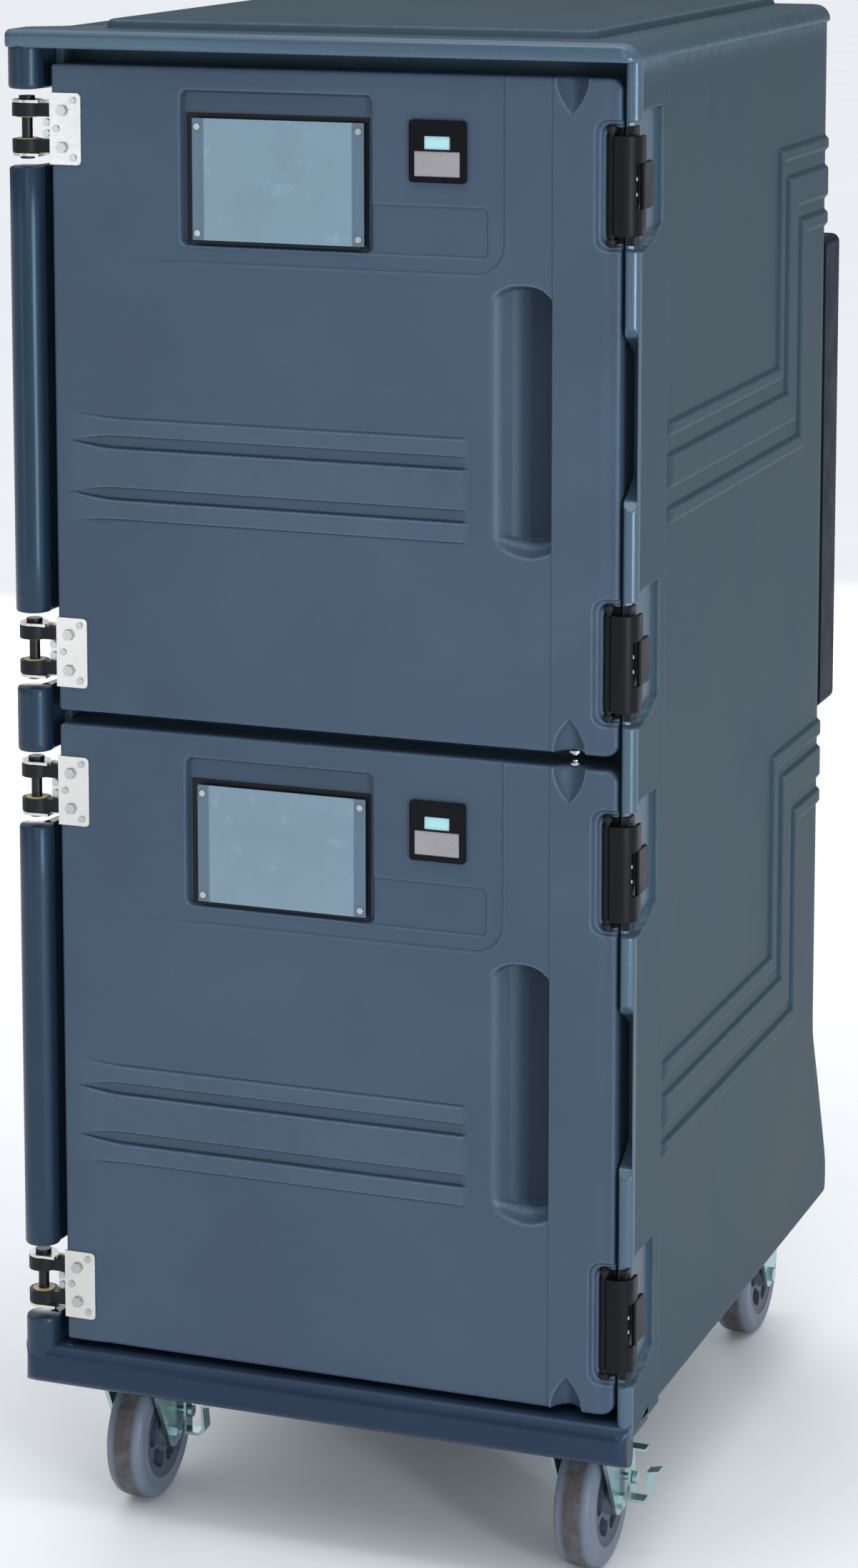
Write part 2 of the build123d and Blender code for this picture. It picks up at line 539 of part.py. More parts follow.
    with BuildPart() as door_screws:
        for hz in hinge_z:
            for dz in (-20.0, 20.0):
                rod_y(-294.0, hz + dz, -1.5, 15.0, 3.5)
                with BuildSketch(face(-5.0)):
                    with Locations((-294.0, hz + dz)):
                        RegularPolygon(6.5, 6)
                extrude(amount=-3.5)
            for dx, dz in ((-301.0, 0.0), (-281.0, 31.0), (-281.0, -31.0)):
                rod_y(dx, hz + dz, -1.5, 13.0, 2.0)
                rod_y(dx, hz + dz, -3.2, -1.5, 3.8)
        for dx in (-137.0, 48.0):
            for sz in (1477.5, 1592.0):
                rod_y(dx, zf(sz), 1.4, 3.0, 3.6)
                rod_y(dx, zf(sz), 2.0, 16.0, 1.5)
        # small stainless bumper on the door's meeting edge, in the scoop
        if name == "upper":
            rod_z(286.0, 24.0, z0 - 3.0, z0, 8.0)
            rod_z(286.0, 24.0, z0 - 5.5, z0 - 3.0, 4.0)
        else:
            rod_z(286.0, 24.0, z1, z1 + 3.0, 8.0)
            rod_z(286.0, 24.0, z1 + 3.0, z1 + 5.5, 4.0)
    save(door_screws.part, name + "_door_screws", STEEL_C)

    # document holder: back plate with four spacers, clear sleeve in front
    with BuildPart() as card_holder:
        block(-152.0, 57.0, 9.5, 12.0, zf(1467), zf(1606))
        for dx in (-137.0, 48.0):
            for sz in (1477.5, 1592.0):
                rod_y(dx, zf(sz), 5.0, 10.0, 4.0)
        block(-139.0, 49.0, 5.0, 10.0, zf(1467), zf(1470.5))
        for dx in (-137.0, 48.0):
            for sz in (1477.5, 1592.0):
                rod_y(dx, zf(sz), 0.0, 13.0, 1.5, mode=Mode.SUBTRACT)
    save(card_holder.part, name + "_card_holder", BLACK_C)

    with BuildPart() as card_sleeve:
        block(-143.0, 54.0, 3.0, 5.0, zf(1470), zf(1601))
        for dx in (-137.0, 48.0):
            for sz in (1477.5, 1592.0):
                rod_y(dx, zf(sz), 0.0, 6.0, 1.5, mode=Mode.SUBTRACT)
    save(card_sleeve.part, name + "_card_sleeve", (0.55, 0.68, 0.74))

    # thermometer: bezel with a probe through the door, display and solar cell
    with BuildPart() as thermometer:
        block(108.0, 168.0, 0.5, 14.0, zf(1543), zf(1605))
        with BuildSketch(face(-0.5)):
            with Locations((138.0, zf(1574))):
                RectangleRounded(64.0, 66.0, 4.0)
        extrude(amount=-3.5)
        block(123.0, 152.0, -1.0, 4.0, zf(1576), zf(1590), mode=Mode.SUBTRACT)
        block(112.0, 163.0, -1.0, 1.5, zf(1547.5), zf(1574), mode=Mode.SUBTRACT)
        rod_y(138.0, zf(1574), 13.0, 78.0, 3.0)
    save(thermometer.part, name + "_thermometer", BLACK_C)

    with BuildPart() as thermometer_display:
        block(123.0, 152.0, 1.0, 4.0, zf(1576), zf(1590))
        block(112.0, 163.0, 0.2, 1.5, zf(1547.5), zf(1574))
    save(thermometer_display.part, name + "_thermometer_display", (0.6, 0.75, 0.75))

    with BuildPart() as latch_mounts:
        for lz in latch_z:
            block(314.0, 338.5, 13.0, 16.0, lz - 64, lz + 64)
            for e0 in (lz + 56.0, lz - 61.0):
                with BuildSketch(Plane.XY.offset(e0)):
                    with Locations((LX, YD + LY)):
                        Circle(6.0)
                    with Locations((LX, YD + 10.0)):
                        Rectangle(12.0, 8.0)
                extrude(amount=5.0)
            rod_z(LX, LY, lz - 63.0, lz + 63.0, ROD_R)
            for dz in (-45.0, 0.0, 45.0):
                rod_y(318.0, lz + dz, 11.5, 13.0, 2.6)
    save(latch_mounts.part, name + "_latch_mounts", BLACK_C)

    for tag, lz in (("top", latch_z[0]), ("bottom", latch_z[1])):
        with BuildPart() as latch:
            with BuildSketch(Plane.XY.offset(lz - 52.0)):
                with Locations((LX, YD + LY)):
                    Circle(6.2)
                with Locations(((LX + 360.0) / 2 - 2, YD - 0.2)):
                    Rectangle(360.0 - LX + 4, 5.6)
                with Locations((357.2, YD + 11.5)):
                    Rectangle(5.6, 29.0)
                with Locations((LX + 0.5, YD + 3.0)):
                    Rectangle(7.0, 6.0)
            extrude(amount=104.0)
            block(354.4, 360.0, 20.0, 49.0, lz - 25, lz + 25)
            fillet(
                edges().filter_by(Axis.Z).filter_by_position(Axis.X, 359.5, 360.5).filter_by_position(Axis.Y, YD - 4, YD - 2), 4
            )
            block(353.0, 361.0, 4.0, 19.0, lz - 24, lz + 24, mode=Mode.SUBTRACT)
            rod_z(LX, LY, lz - 53.0, lz + 53.0, ROD_R + RUN, mode=Mode.SUBTRACT)
        save(latch.part, name + "_latch_" + tag, BLACK_C)

# ------------------------------------------------------------------ casters
with BuildPart() as caster_plates:
    for _, x, d in CASTERS:
        with BuildSketch(Plane.XY.offset(Z_BASE - 6)):
            with Locations((x, YD + d)):
                RectangleRounded(100.0, 90.0, 6.0)
            for dx in (-38.0, 38.0):
                for dd in (-33.0, 33.0):
                    with Locations((x + dx, YD + d + dd)):
                        Circle(4.0, mode=Mode.SUBTRACT)
        extrude(amount=6.0)
        with BuildSketch(Plane.XY.offset(177.3)):
            with Locations((x, YD + d)):
                Circle(30.0)
        extrude(amount=7.0, taper=12)
        rod_z(x, d, 150.0, 185.0, KING_R)
        with BuildSketch(Plane.XY.offset(150.0)):
            with Locations((x, YD + d)):
                RegularPolygon(12.0, 6)
        extrude(amount=7.7)
save(caster_plates.part, "caster_plates", ZINC_C)

with BuildPart() as caster_bolts:
    for _, x, d in CASTERS:
        for dx in (-38.0, 38.0):
            for dd in (-33.0, 33.0):
                rod_z(x + dx, d + dd, 183.0, 199.0, 4.0)
                with BuildSketch(Plane.XY.offset(178.5)):
                    with Locations((x + dx, YD + d + dd)):
                        RegularPolygon(7.0, 6)
                extrude(amount=5.5)
save(caster_bolts.part, "caster_bolts", STEEL_C)

for tag, x, ds in CASTERS:
    dw, za = ds + TRAIL, WHEEL_R

    with BuildPart() as fork:
        # crown and swivel head
        with BuildSketch(Plane.XY.offset(158.0)):
            with Locations((x, YD + ds)):
                Circle(42.0)
            with Locations((x, YD + ds + 6.0)):
                Rectangle(66.0, 50.0)
        extrude(amount=6.0)
        with BuildSketch(Plane.XY.offset(163.5)):
            with Locations((x, YD + ds)):
                Circle(33.0)
        extrude(amount=13.5, taper=14)
        # side plates
        for x0 in (x + 28.0, x - 33.0):
            with BuildSketch(Plane.YZ.offset(x0)):
                with BuildLine():
                    Polyline(
                        (YD + ds - 24, 164.0), (YD + ds + 30, 164.0), (YD + ds + 38, 154.0), (YD + dw + 28, 146.0),
                        (YD + dw + 30, 86.0), (YD + dw + 13, 68.0), (YD + dw - 14, 70.0), close=True,
                    )
                make_face()
                with Locations((YD + dw, za)):
                    Circle(16.0)
            extrude(amount=5.0)
        # kingpin hole
        rod_z(x, ds, 150.0, 180.0, KING_R + RUN, mode=Mode.SUBTRACT)
        rod_z(x, ds, 149.0, 157.9, 15.0, mode=Mode.SUBTRACT)
        # axle bolt
        rod_x(dw, za, x - 33.5, x + 33.5, AXLE_R)
        with BuildSketch(Plane.YZ.offset(x - 40.0)):
            with Locations((YD + dw, za)):
                RegularPolygon(10.0, 6)
        extrude(amount=7.5)
        with BuildSketch(Plane.YZ.offset(x + 32.5)):
            with Locations((YD + dw, za)):
                RegularPolygon(9.0, 6)
        extrude(amount=5.5)
        if tag in ("fl", "fr"):
            # brake pivot stud and its head
            rod_x(dw + 21.0, 96.0, x + 32.0, x + 43.0, 4.0)
            rod_x(dw + 21.0, 96.0, x + 42.0, x + 47.0, 7.0)
    save(fork.part, "caster_" + tag + "_fork", ZINC_C)

    with BuildPart() as hub:
        with BuildSketch(Plane.XY):
            with BuildLine():
                Polyline(
                    (x - 27.7, YD + dw + AXLE_R + RUN), (x - 27.7, YD + dw + 15), (x - 20, YD + dw + 17), (x - 20, YD + dw + 47),
                    (x - 22, YD + dw + 52), (x + 22, YD + dw + 52), (x + 20, YD + dw + 47), (x + 20, YD + dw + 17),
                    (x + 27.7, YD + dw + 15), (x + 27.7, YD + dw + AXLE_R + RUN), close=True,
                )
            make_face()
        revolve(axis=Axis((x, YD + dw, 0), (1, 0, 0)))
        # kidney pockets between the spokes, both sides
        for k in range(5):
            a = math.radians(72 * k + 18)
            for xs in (x + 15.0, x - 15.0):
                with BuildSketch(Plane.YZ.offset(xs + (6 if xs > x else -6))):
                    for da in (-14, 0, 14):
                        with Locations((YD + dw + 32 * math.cos(a + math.radians(da)), 32 * math.sin(a + math.radians(da)))):
                            Circle(9.0)
                extrude(amount=-14.0 if xs > x else 14.0, mode=Mode.SUBTRACT)
    hub_part = hub.part.moved(Location((0, 0, za)))
    save(hub_part, "caster_" + tag + "_hub", GREY_C)

    with BuildPart() as tyre:
        with BuildSketch(Plane.XY):
            with BuildLine():
                r0, r1, hw = YD + dw + 52.0, YD + dw + WHEEL_R, WHEEL_W / 2
                Polyline((x - hw + 0.5, r0), (x + hw - 0.5, r0))
                ThreePointArc((x + hw - 0.5, r0), (x + hw, r0 + 8), (x + 19.0, r1 - 7))
                ThreePointArc((x + 19.0, r1 - 7), (x, r1), (x - 19.0, r1 - 7))
                ThreePointArc((x - 19.0, r1 - 7), (x - hw, r0 + 8), (x - hw + 0.5, r0))
            make_face()
        revolve(axis=Axis((x, YD + dw, 0), (1, 0, 0)))
    tyre_part = tyre.part.moved(Location((0, 0, za)))
    save(tyre_part, "caster_" + tag + "_tyre", GREY_C)

    if tag in ("fl", "fr"):
        with BuildPart() as pedal:
            # lever plate on the pivot, release tab above, pressed tab on a bent arm below
            with BuildSketch(Plane.YZ.offset(x + 38.4)):
                with BuildLine():
                    Polyline(
                        (YD + dw + 13, 70.0), (YD + dw + 30, 70.0), (YD + dw + 31, 92.0), (YD + dw + 27, 134.0),
                        (YD + dw + 12, 134.0), (YD + dw + 12, 92.0), close=True,
                    )
                make_face()
            extrude(amount=3.0)
            block(x + 38.4, x + 58.0, dw + 12, dw + 27, 131.0, 134.0)
            with BuildSketch(Plane.XZ.offset(-(YD + dw + 30.0))):
                with BuildLine():
                    Polyline(
                        (x + 39.0, 70.0), (x + 58.0, 70.0), (x + 64.0, 78.0), (x + 62.0, 104.0), (x + 73.0, 107.0),
                        (x + 73.0, 110.0), (x + 59.0, 107.0), (x + 60.5, 80.0), (x + 56.5, 73.5), (x + 39.0, 73.5), close=True,
                    )
                make_face()
            extrude(amount=17.0)
            rod_x(dw + 21.0, 96.0, x + 37.0, x + 42.0, 4.0 + RUN, mode=Mode.SUBTRACT)
        save(pedal.part, "caster_" + tag + "_brake", ZINC_C)
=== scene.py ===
import math

import bmesh
import bpy
import numpy as np
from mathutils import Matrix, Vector


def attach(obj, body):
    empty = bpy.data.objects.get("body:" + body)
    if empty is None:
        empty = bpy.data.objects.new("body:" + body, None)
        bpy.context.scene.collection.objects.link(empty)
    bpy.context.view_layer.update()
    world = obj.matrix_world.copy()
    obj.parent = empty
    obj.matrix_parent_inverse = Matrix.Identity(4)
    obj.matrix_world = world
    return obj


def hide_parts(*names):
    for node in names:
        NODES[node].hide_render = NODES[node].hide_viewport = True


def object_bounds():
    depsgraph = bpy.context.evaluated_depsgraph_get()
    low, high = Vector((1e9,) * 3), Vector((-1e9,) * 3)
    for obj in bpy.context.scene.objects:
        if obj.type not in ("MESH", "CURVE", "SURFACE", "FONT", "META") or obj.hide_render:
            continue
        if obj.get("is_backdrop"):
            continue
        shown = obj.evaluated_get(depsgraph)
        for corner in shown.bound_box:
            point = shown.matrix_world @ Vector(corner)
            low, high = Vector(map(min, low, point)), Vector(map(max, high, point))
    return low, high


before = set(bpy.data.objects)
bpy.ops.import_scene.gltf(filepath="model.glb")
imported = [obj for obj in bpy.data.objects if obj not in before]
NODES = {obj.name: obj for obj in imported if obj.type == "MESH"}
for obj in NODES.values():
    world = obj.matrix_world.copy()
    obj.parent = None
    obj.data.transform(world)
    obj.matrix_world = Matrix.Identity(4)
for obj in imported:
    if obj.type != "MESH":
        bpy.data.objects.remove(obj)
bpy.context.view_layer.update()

# Heated insulated food cart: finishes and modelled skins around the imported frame.
# Lengths in this file are millimetres until they become vertices.  Depths are measured back from
# the front face of the doors, and YD turns them into y.
YD = -442.0
scene = bpy.context.scene


# ------------------------------------------------------------------ camera, floor, light
def look(az, pitch):
    """Rotation of a camera or lamp that looks along azimuth az (from +Y towards -X), pitch down."""
    return (math.radians(90.0 - pitch), 0.0, math.radians(az))


cam_data = bpy.data.cameras.new("camera")
cam = bpy.data.objects.new("camera", cam_data)
scene.collection.objects.link(cam)
scene.camera = cam
cam.location = (1.614, -4.436, 1.967)
cam.rotation_euler = look(20.40, 8.47)
cam_data.sensor_width = 36.0
cam_data.lens = 93.8
cam_data.shift_y = -0.2577
cam_data.clip_end = 400.0


def lamp(name, loc, target, size, power, color, size_y=None):
    data = bpy.data.lights.new(name, "AREA")
    data.energy = power
    data.color = color
    data.shape = "RECTANGLE"
    data.size, data.size_y = size, size_y or size
    o = bpy.data.objects.new(name, data)
    scene.collection.objects.link(o)
    o.location = loc
    d = Vector(target) - Vector(loc)
    o.rotation_euler = d.to_track_quat("-Z", "Y").to_euler()
    return o


lamp("key", (1.6, -5.4, 2.5), (0.0, -0.3, 0.95), 1.2, 24.0, (0.93, 0.97, 1.0), 2.0)
lamp("strip", (3.76, -3.30, 0.98), (0.0, -0.44, 0.98), 0.60, 92.0, (0.82, 0.93, 1.0), 1.9)
lamp("top", (0.3, -1.5, 4.3), (0.0, -0.4, 1.0), 2.6, 24.0, (0.93, 0.97, 1.0), 0.3)
lamp("side", (4.4, 0.4, 2.2), (0.35, 0.0, 0.9), 1.2, 3.0, (0.95, 1.0, 0.95), 2.0)
lamp("sheen", (-2.5, -4.6, 1.1), (0.0, -0.4, 0.9), 0.5, 10.0, (0.80, 0.92, 1.0), 2.4)
lamp("rear", (-2.0, 4.6, 1.15), (0.0, 0.3, 0.9), 2.0, 42.0, (0.95, 0.97, 1.0), 1.0)

# overhead softbox: bright towards the zenith, dim at the horizon
world = bpy.data.worlds.new("world")
scene.world = world
world.use_nodes = True
wt = world.node_tree
sep = wt.nodes.new("ShaderNodeSeparateXYZ")
wt.links.new(wt.nodes.new("ShaderNodeTexCoord").outputs["Generated"], sep.inputs[0])
grade = wt.nodes.new("ShaderNodeMapRange")
grade.interpolation_type = "SMOOTHSTEP"
wt.links.new(sep.outputs["Z"], grade.inputs[0])
for i, v in enumerate((0.28, 1.0, 0.20, 1.55)):
    grade.inputs[i + 1].default_value = v
wt.nodes["Background"].inputs[0].default_value = (0.94, 0.965, 1.0, 1.0)
wt.links.new(grade.outputs[0], wt.nodes["Background"].inputs[1])
scene.view_settings.view_transform = "Standard"


# ------------------------------------------------------------------ materials
class Mat:
    """A node material built up in a few lines."""

    def __init__(self, name):
        self.mat = bpy.data.materials.new(name)
        self.mat.use_nodes = True
        self.t = self.mat.node_tree
        self.b = self.t.nodes["Principled BSDF"]
        self.co = self.t.nodes.new("ShaderNodeTexCoord").outputs["Object"]

    def node(self, kind, **inputs):
        n = self.t.nodes.new(kind)
        for k, v in inputs.items():
            self.put(n.inputs[int(k[1:]) if k[0] == "i" and k[1:].isdigit() else k.replace("_", " ")], v)
        return n

    def put(self, socket, v):
        if isinstance(v, bpy.types.NodeSocket):
            self.t.links.new(v, socket)
        else:
            socket.default_value = v

    def noise(self, scale, detail=3.0, rough=0.55, vec=None, stretch=None):
        v = vec or self.co
        if stretch:
            m = self.t.nodes.new("ShaderNodeMapping")
            self.t.links.new(v, m.inputs[0])
            m.inputs["Scale"].default_value = stretch
            v = m.outputs[0]
        n = self.t.nodes.new("ShaderNodeTexNoise")
        self.t.links.new(v, n.inputs["Vector"])
        n.inputs["Scale"].default_value = scale
        n.inputs["Detail"].default_value = detail
        n.inputs["Roughness"].default_value = rough
        return n.outputs["Fac"]

    def ramp(self, fac, lo, hi, a=0.0, b=1.0):
        """fac from lo..hi spread to a..b, clamped."""
        n = self.t.nodes.new("ShaderNodeMapRange")
        self.t.links.new(fac, n.inputs[0])
        for i, v in enumerate((lo, hi, a, b)):
            n.inputs[i + 1].default_value = v
        n.clamp = True
        return n.outputs[0]

    def mix(self, fac, a, b, blend="MIX"):
        n = self.t.nodes.new("ShaderNodeMix")
        n.data_type = "RGBA"
        n.blend_type = blend
        self.put(n.inputs[0], fac)
        self.put(n.inputs[6], (*a, 1.0) if isinstance(a, tuple) and len(a) == 3 else a)
        self.put(n.inputs[7], (*b, 1.0) if isinstance(b, tuple) and len(b) == 3 else b)
        return n.outputs[2]

    def math(self, op, a, b=0.0):
        n = self.t.nodes.new("ShaderNodeMath")
        n.operation = op
        self.put(n.inputs[0], a)
        self.put(n.inputs[1], b)
        return n.outputs[0]

    def attr(self, name):
        n = self.t.nodes.new("ShaderNodeAttribute")
        n.attribute_name = name
        return n.outputs["Fac"]

    def bump(self, height, distance, strength=1.0, normal=None):
        n = self.t.nodes.new("ShaderNodeBump")
        n.inputs["Strength"].default_value = strength
        n.inputs["Distance"].default_value = distance
        self.t.links.new(height, n.inputs["Height"])
        if normal:
            self.t.links.new(normal, n.inputs["Normal"])
        return n.outputs["Normal"]

    def done(self, color=None, rough=None, metal=0.0, normal=None, **extra):
        if color is not None:
            self.put(self.b.inputs["Base Color"], (*color, 1.0) if isinstance(color, tuple) else color)
        if rough is not None:
            self.put(self.b.inputs["Roughness"], rough)
        self.b.inputs["Metallic"].default_value = metal
        if normal is not None:
            self.t.links.new(normal, self.b.inputs["Normal"])
        for k, v in extra.items():
            self.put(self.b.inputs[k.replace("_", " ")], v)
        return self.mat


def moulded(name, tone, edge, rough=0.44, spec=0.42, gloss=None, peel=1.0, sheen=(0.70, 0.86, 1.0)):
    """Rotationally moulded polyethylene: soft mottling, fine grain, orange peel, paler edges that are partly rubbed
    wear and partly painted highlight, and painted shade in hollows.
    """
    m = Mat(name)
    dark = tuple(c * 0.86 for c in tone)
    light = tuple(min(1.0, c * 1.13) for c in tone)
    cloud = m.noise(3.1, 4.0, 0.6)
    base = m.mix(m.ramp(cloud, 0.32, 0.70), dark, light)
    speck = m.noise(820.0, 2.0, 0.6)
    base = m.mix(m.ramp(speck, 0.56, 0.74, 0.0, 0.22), base, tuple(min(1.0, c * 1.6) for c in tone))
    base = m.mix(m.ramp(speck, 0.42, 0.30, 0.0, 0.25), base, tuple(c * 0.6 for c in tone))
    # paler convex edges, partly rubbed wear and partly painted highlight, broken up by noise, and faint handling
    # streaks
    rub_and_highlight = m.math("MULTIPLY", m.attr("wear_and_highlight"), m.ramp(m.noise(60.0, 4.0, 0.7), 0.30, 0.62, 0.45, 1.0))
    base = m.mix(m.math("MULTIPLY", rub_and_highlight, 0.70), base, edge)
    # painted shade: hollows, recesses and the strips between the door's bands darkened towards a deep tone
    base = m.mix(m.math("MULTIPLY", m.attr("painted_shade"), 0.62), base, tuple(c * 0.22 for c in tone))
    scuff = m.noise(14.0, 6.0, 0.75, stretch=(1.0, 1.0, 0.18))
    base = m.mix(m.ramp(scuff, 0.62, 0.78, 0.0, 0.16), base, tuple(min(1.0, c * 1.5) for c in tone))
    r = m.math("ADD", m.ramp(cloud, 0.3, 0.7, rough - 0.04, rough + 0.05), m.ramp(scuff, 0.6, 0.8, 0.0, 0.10))
    r = m.math("SUBTRACT", r, m.math("MULTIPLY", rub_and_highlight, 0.08))
    # front-facing lip and jamb: glossier, and painted lighter towards the door's blue as front light
    if gloss:
        g = m.attr("gloss")
        base = m.mix(m.math("MULTIPLY", g, 0.85), base, gloss)
        r = m.math("SUBTRACT", r, m.math("MULTIPLY", g, 0.25))
        spec = m.math("ADD", m.math("MULTIPLY", g, 0.55), spec)
    n1 = m.bump(m.noise(260.0, 2.0, 0.5), 0.00022 * peel, 0.55)
    n2 = m.bump(speck, 0.00010, 0.6, n1)
    spec = m.math("MULTIPLY", m.math("SUBTRACT", 1.0, m.math("MULTIPLY", m.attr("painted_shade"), 0.8)), spec)
    return m.done(base, r, normal=n2, Specular_IOR_Level=spec, Specular_Tint=(*sheen, 1.0))


def painted(name, tone, rough, grain=900.0, depth=0.00008, var=0.12, wear_and_highlight=None, spec=0.4, mask=None, second=None):
    """Textured paint or moulded nylon: fine grain, slight tone and gloss variation."""
    m = Mat(name)
    cloud = m.noise(9.0, 4.0, 0.6)
    base = m.mix(m.ramp(cloud, 0.35, 0.68), tuple(c * (1 - var) for c in tone), tuple(min(1.0, c * (1 + var)) for c in tone))
    g = m.noise(grain, 3.0, 0.6)
    base = m.mix(m.ramp(g, 0.58, 0.76, 0.0, 0.35), base, tuple(min(1.0, c * 1.7 + 0.004) for c in tone))
    if wear_and_highlight:
        base = m.mix(m.ramp(m.noise(55.0, 5.0, 0.75), 0.64, 0.74, 0.0, 0.35), base, wear_and_highlight)
    if mask:
        base = m.mix(mask(m), base, second)
    r = m.ramp(m.noise(25.0, 4.0, 0.6), 0.3, 0.7, rough - 0.06, rough + 0.08)
    return m.done(base, r, normal=m.bump(g, depth, 0.8), Specular_IOR_Level=spec)


def axis_band(axis, lo, hi, soft=0.0006):
    """Mask over a range of the object's own X, Y or Z, in metres."""

    def make(m):
        n = m.t.nodes.new("ShaderNodeSeparateXYZ")
        m.t.links.new(m.co, n.inputs[0])
        v = n.outputs[axis]
        return m.math("MULTIPLY", m.ramp(v, lo - soft, lo + soft), m.ramp(v, hi - soft, hi + soft, 1.0, 0.0))

    return make


def outside_band(axis, lo, hi, soft=0.0008):
    inner = axis_band(axis, lo, hi, soft)
    return lambda m: m.math("SUBTRACT", 1.0, inner(m))


def metal(name, tone, rough, brush=(1.0, 1.0, 40.0), tint=None, var=0.10, scale=60.0):
    """Brushed or plated metal: directional scratches, light staining."""
    m = Mat(name)
    streak = m.noise(scale, 5.0, 0.7, stretch=brush)
    stain = m.noise(22.0, 4.0, 0.6)
    base = m.mix(m.ramp(streak, 0.3, 0.7), tuple(c * (1 - var) for c in tone), tuple(min(1.0, c * (1 + var)) for c in tone))
    if tint:
        base = m.mix(m.ramp(stain, 0.40, 0.62, 0.0, 0.8), base, tint)
    else:
        base = m.mix(m.ramp(stain, 0.55, 0.75, 0.0, 0.3), base, tuple(c * 0.72 for c in tone))
    r = m.ramp(streak, 0.3, 0.7, rough - 0.07, rough + 0.10)
    return m.done(base, r, 1.0, normal=m.bump(streak, 0.00004, 0.5))


M = {
    # the third colour of each moulded plastic is its paler edge: partly rubbed wear, partly painted highlight
    "door": moulded("door_plastic", (0.0480, 0.0720, 0.1090), (0.16, 0.24, 0.32)),
    # the cabinet is the door's plastic; its greyer, darker tone is painted shade for the sides
    "body": moulded("body_plastic", (0.033, 0.060, 0.078), (0.14, 0.215, 0.27), 0.52, 0.17, gloss=(0.052, 0.089, 0.130, 1.0)),
    "column": moulded("column_plastic", (0.013, 0.026, 0.045), (0.08, 0.13, 0.19), 0.31, 0.52, peel=0.2, sheen=(0.52, 0.76, 1.0)),
    "trim": moulded("trim_plastic", (0.013, 0.022, 0.042), (0.07, 0.11, 0.17), 0.24, 0.5, peel=0.3, sheen=(0.46, 0.68, 1.0)),
    "liner": moulded("liner_plastic", (0.33, 0.36, 0.38), (0.5, 0.52, 0.54)),
    "foam": painted("foam", (0.75, 0.68, 0.45), 0.9, 300.0, 0.0004),
    "gasket": painted("gasket_rubber", (0.018, 0.018, 0.020), 0.62, 500.0, 0.00006),
    "nylon": painted("black_nylon", (0.0050, 0.0056, 0.0075), 0.46, 1100.0, 0.00007, wear_and_highlight=(0.022, 0.023, 0.027), spec=0.25),
    "latch": painted("latch_nylon", (0.0036, 0.0041, 0.0060), 0.40, 1000.0, 0.00009, wear_and_highlight=(0.012, 0.0125, 0.0155), spec=0.16),
    "black": painted("black_plastic", (0.0045, 0.0050, 0.0068), 0.42, 800.0, spec=0.25),
    "bezel": painted("bezel_plastic", (0.0026, 0.0032, 0.0050), 0.24, 300.0, 0.00001, spec=0.12),
    "bush": painted("bush_nylon", (0.42, 0.36, 0.15), 0.42, 600.0),
    "oxide": metal("black_steel", (0.035, 0.035, 0.038), 0.36),
    "steel": metal("stainless", (0.66, 0.64, 0.60), 0.27, (1.0, 1.0, 60.0), scale=45.0),
    "screw": metal("screw_steel", (0.46, 0.46, 0.46), 0.24, (1.0, 1.0, 1.0), scale=900.0),
    "zinc": metal("zinc", (0.44, 0.60, 0.57), 0.30, (1.0, 12.0, 12.0), tint=(0.38, 0.52, 0.60), scale=90.0),
    "housing": painted("housing_paint", (0.0085, 0.0130, 0.0270), 0.45, 1300.0, 0.00012, spec=0.06),
    "panel": painted("panel_plastic", (0.030, 0.031, 0.037), 0.45),
    "heater": metal("heater_metal", (0.45, 0.44, 0.43), 0.4, scale=200.0),
    "fan": metal("fan_metal", (0.7, 0.71, 0.72), 0.32, scale=200.0),
    "sleeve": painted("clear_sleeve", (0.17, 0.255, 0.315), 0.16, 40.0, 0.0001, 0.05, mask=outside_band(0, -0.1295, 0.0405), second=(0.085, 0.135, 0.185, 1.0), spec=0.5),
    "display_u": painted("display_upper", (0.30, 0.275, 0.29), 0.26, 500.0, 0.00002, mask=axis_band(2, 1.5752, 1.5908), second=(0.40, 0.66, 0.68, 1.0)),
    "display_l": painted("display_lower", (0.30, 0.275, 0.29), 0.26, 500.0, 0.00002, mask=axis_band(2, 0.8442, 0.8598), second=(0.40, 0.66, 0.68, 1.0)),
    "hub": painted("hub_plastic", (0.060, 0.078, 0.108), 0.45, 600.0, 0.0001, wear_and_highlight=(0.12, 0.14, 0.17)),
    "tyre": painted("tyre_rubber", (0.150, 0.182, 0.232), 0.42, 500.0, 0.0001, mask=lambda m: m.math("MULTIPLY", m.attr("tread"), m.ramp(m.noise(60.0, 5.0, 0.7), 0.3, 0.58, 0.55, 1.0)), second=(0.058, 0.046, 0.042, 1.0)),
}


# ------------------------------------------------------------------ mesh helpers
def sm(t):
    t = np.clip(t, 0.0, 1.0)
    return t * t * (3.0 - 2.0 * t)


def inside(sd, w):
    """1 where the signed distance is well inside, 0 well outside, soft over the width w."""
    return sm(0.5 - sd / w)


def rrect(x, z, x0, x1, z0, z1, r):
    """Signed distance to a rounded rectangle, negative inside."""
    qx = np.abs(x - (x0 + x1) / 2) - ((x1 - x0) / 2 - r)
    qz = np.abs(z - (z0 + z1) / 2) - ((z1 - z0) / 2 - r)
    return np.hypot(np.maximum(qx, 0), np.maximum(qz, 0)) + np.minimum(np.maximum(qx, qz), 0) - r


def poly_sd(x, z, pts):
    """Signed distance to a polygon, negative inside."""
    d = np.full(np.shape(x), 1e18)
    odd = np.zeros(np.shape(x), bool)
    n = len(pts)
    for i in range(n):
        ax, az = pts[i]
        bx, bz = pts[(i + 1) % n]
        ex, ez = bx - ax, bz - az
        wx, wz = x - ax, z - az
        t = np.clip((wx * ex + wz * ez) / (ex * ex + ez * ez), 0, 1)
        d = np.minimum(d, (wx - ex * t) ** 2 + (wz - ez * t) ** 2)
        if az != bz:
            cond = (az > z) != (bz > z)
            odd ^= cond & (x < ex * (z - az) / (bz - az) + ax)
    return np.where(odd, -1.0, 1.0) * np.sqrt(d)


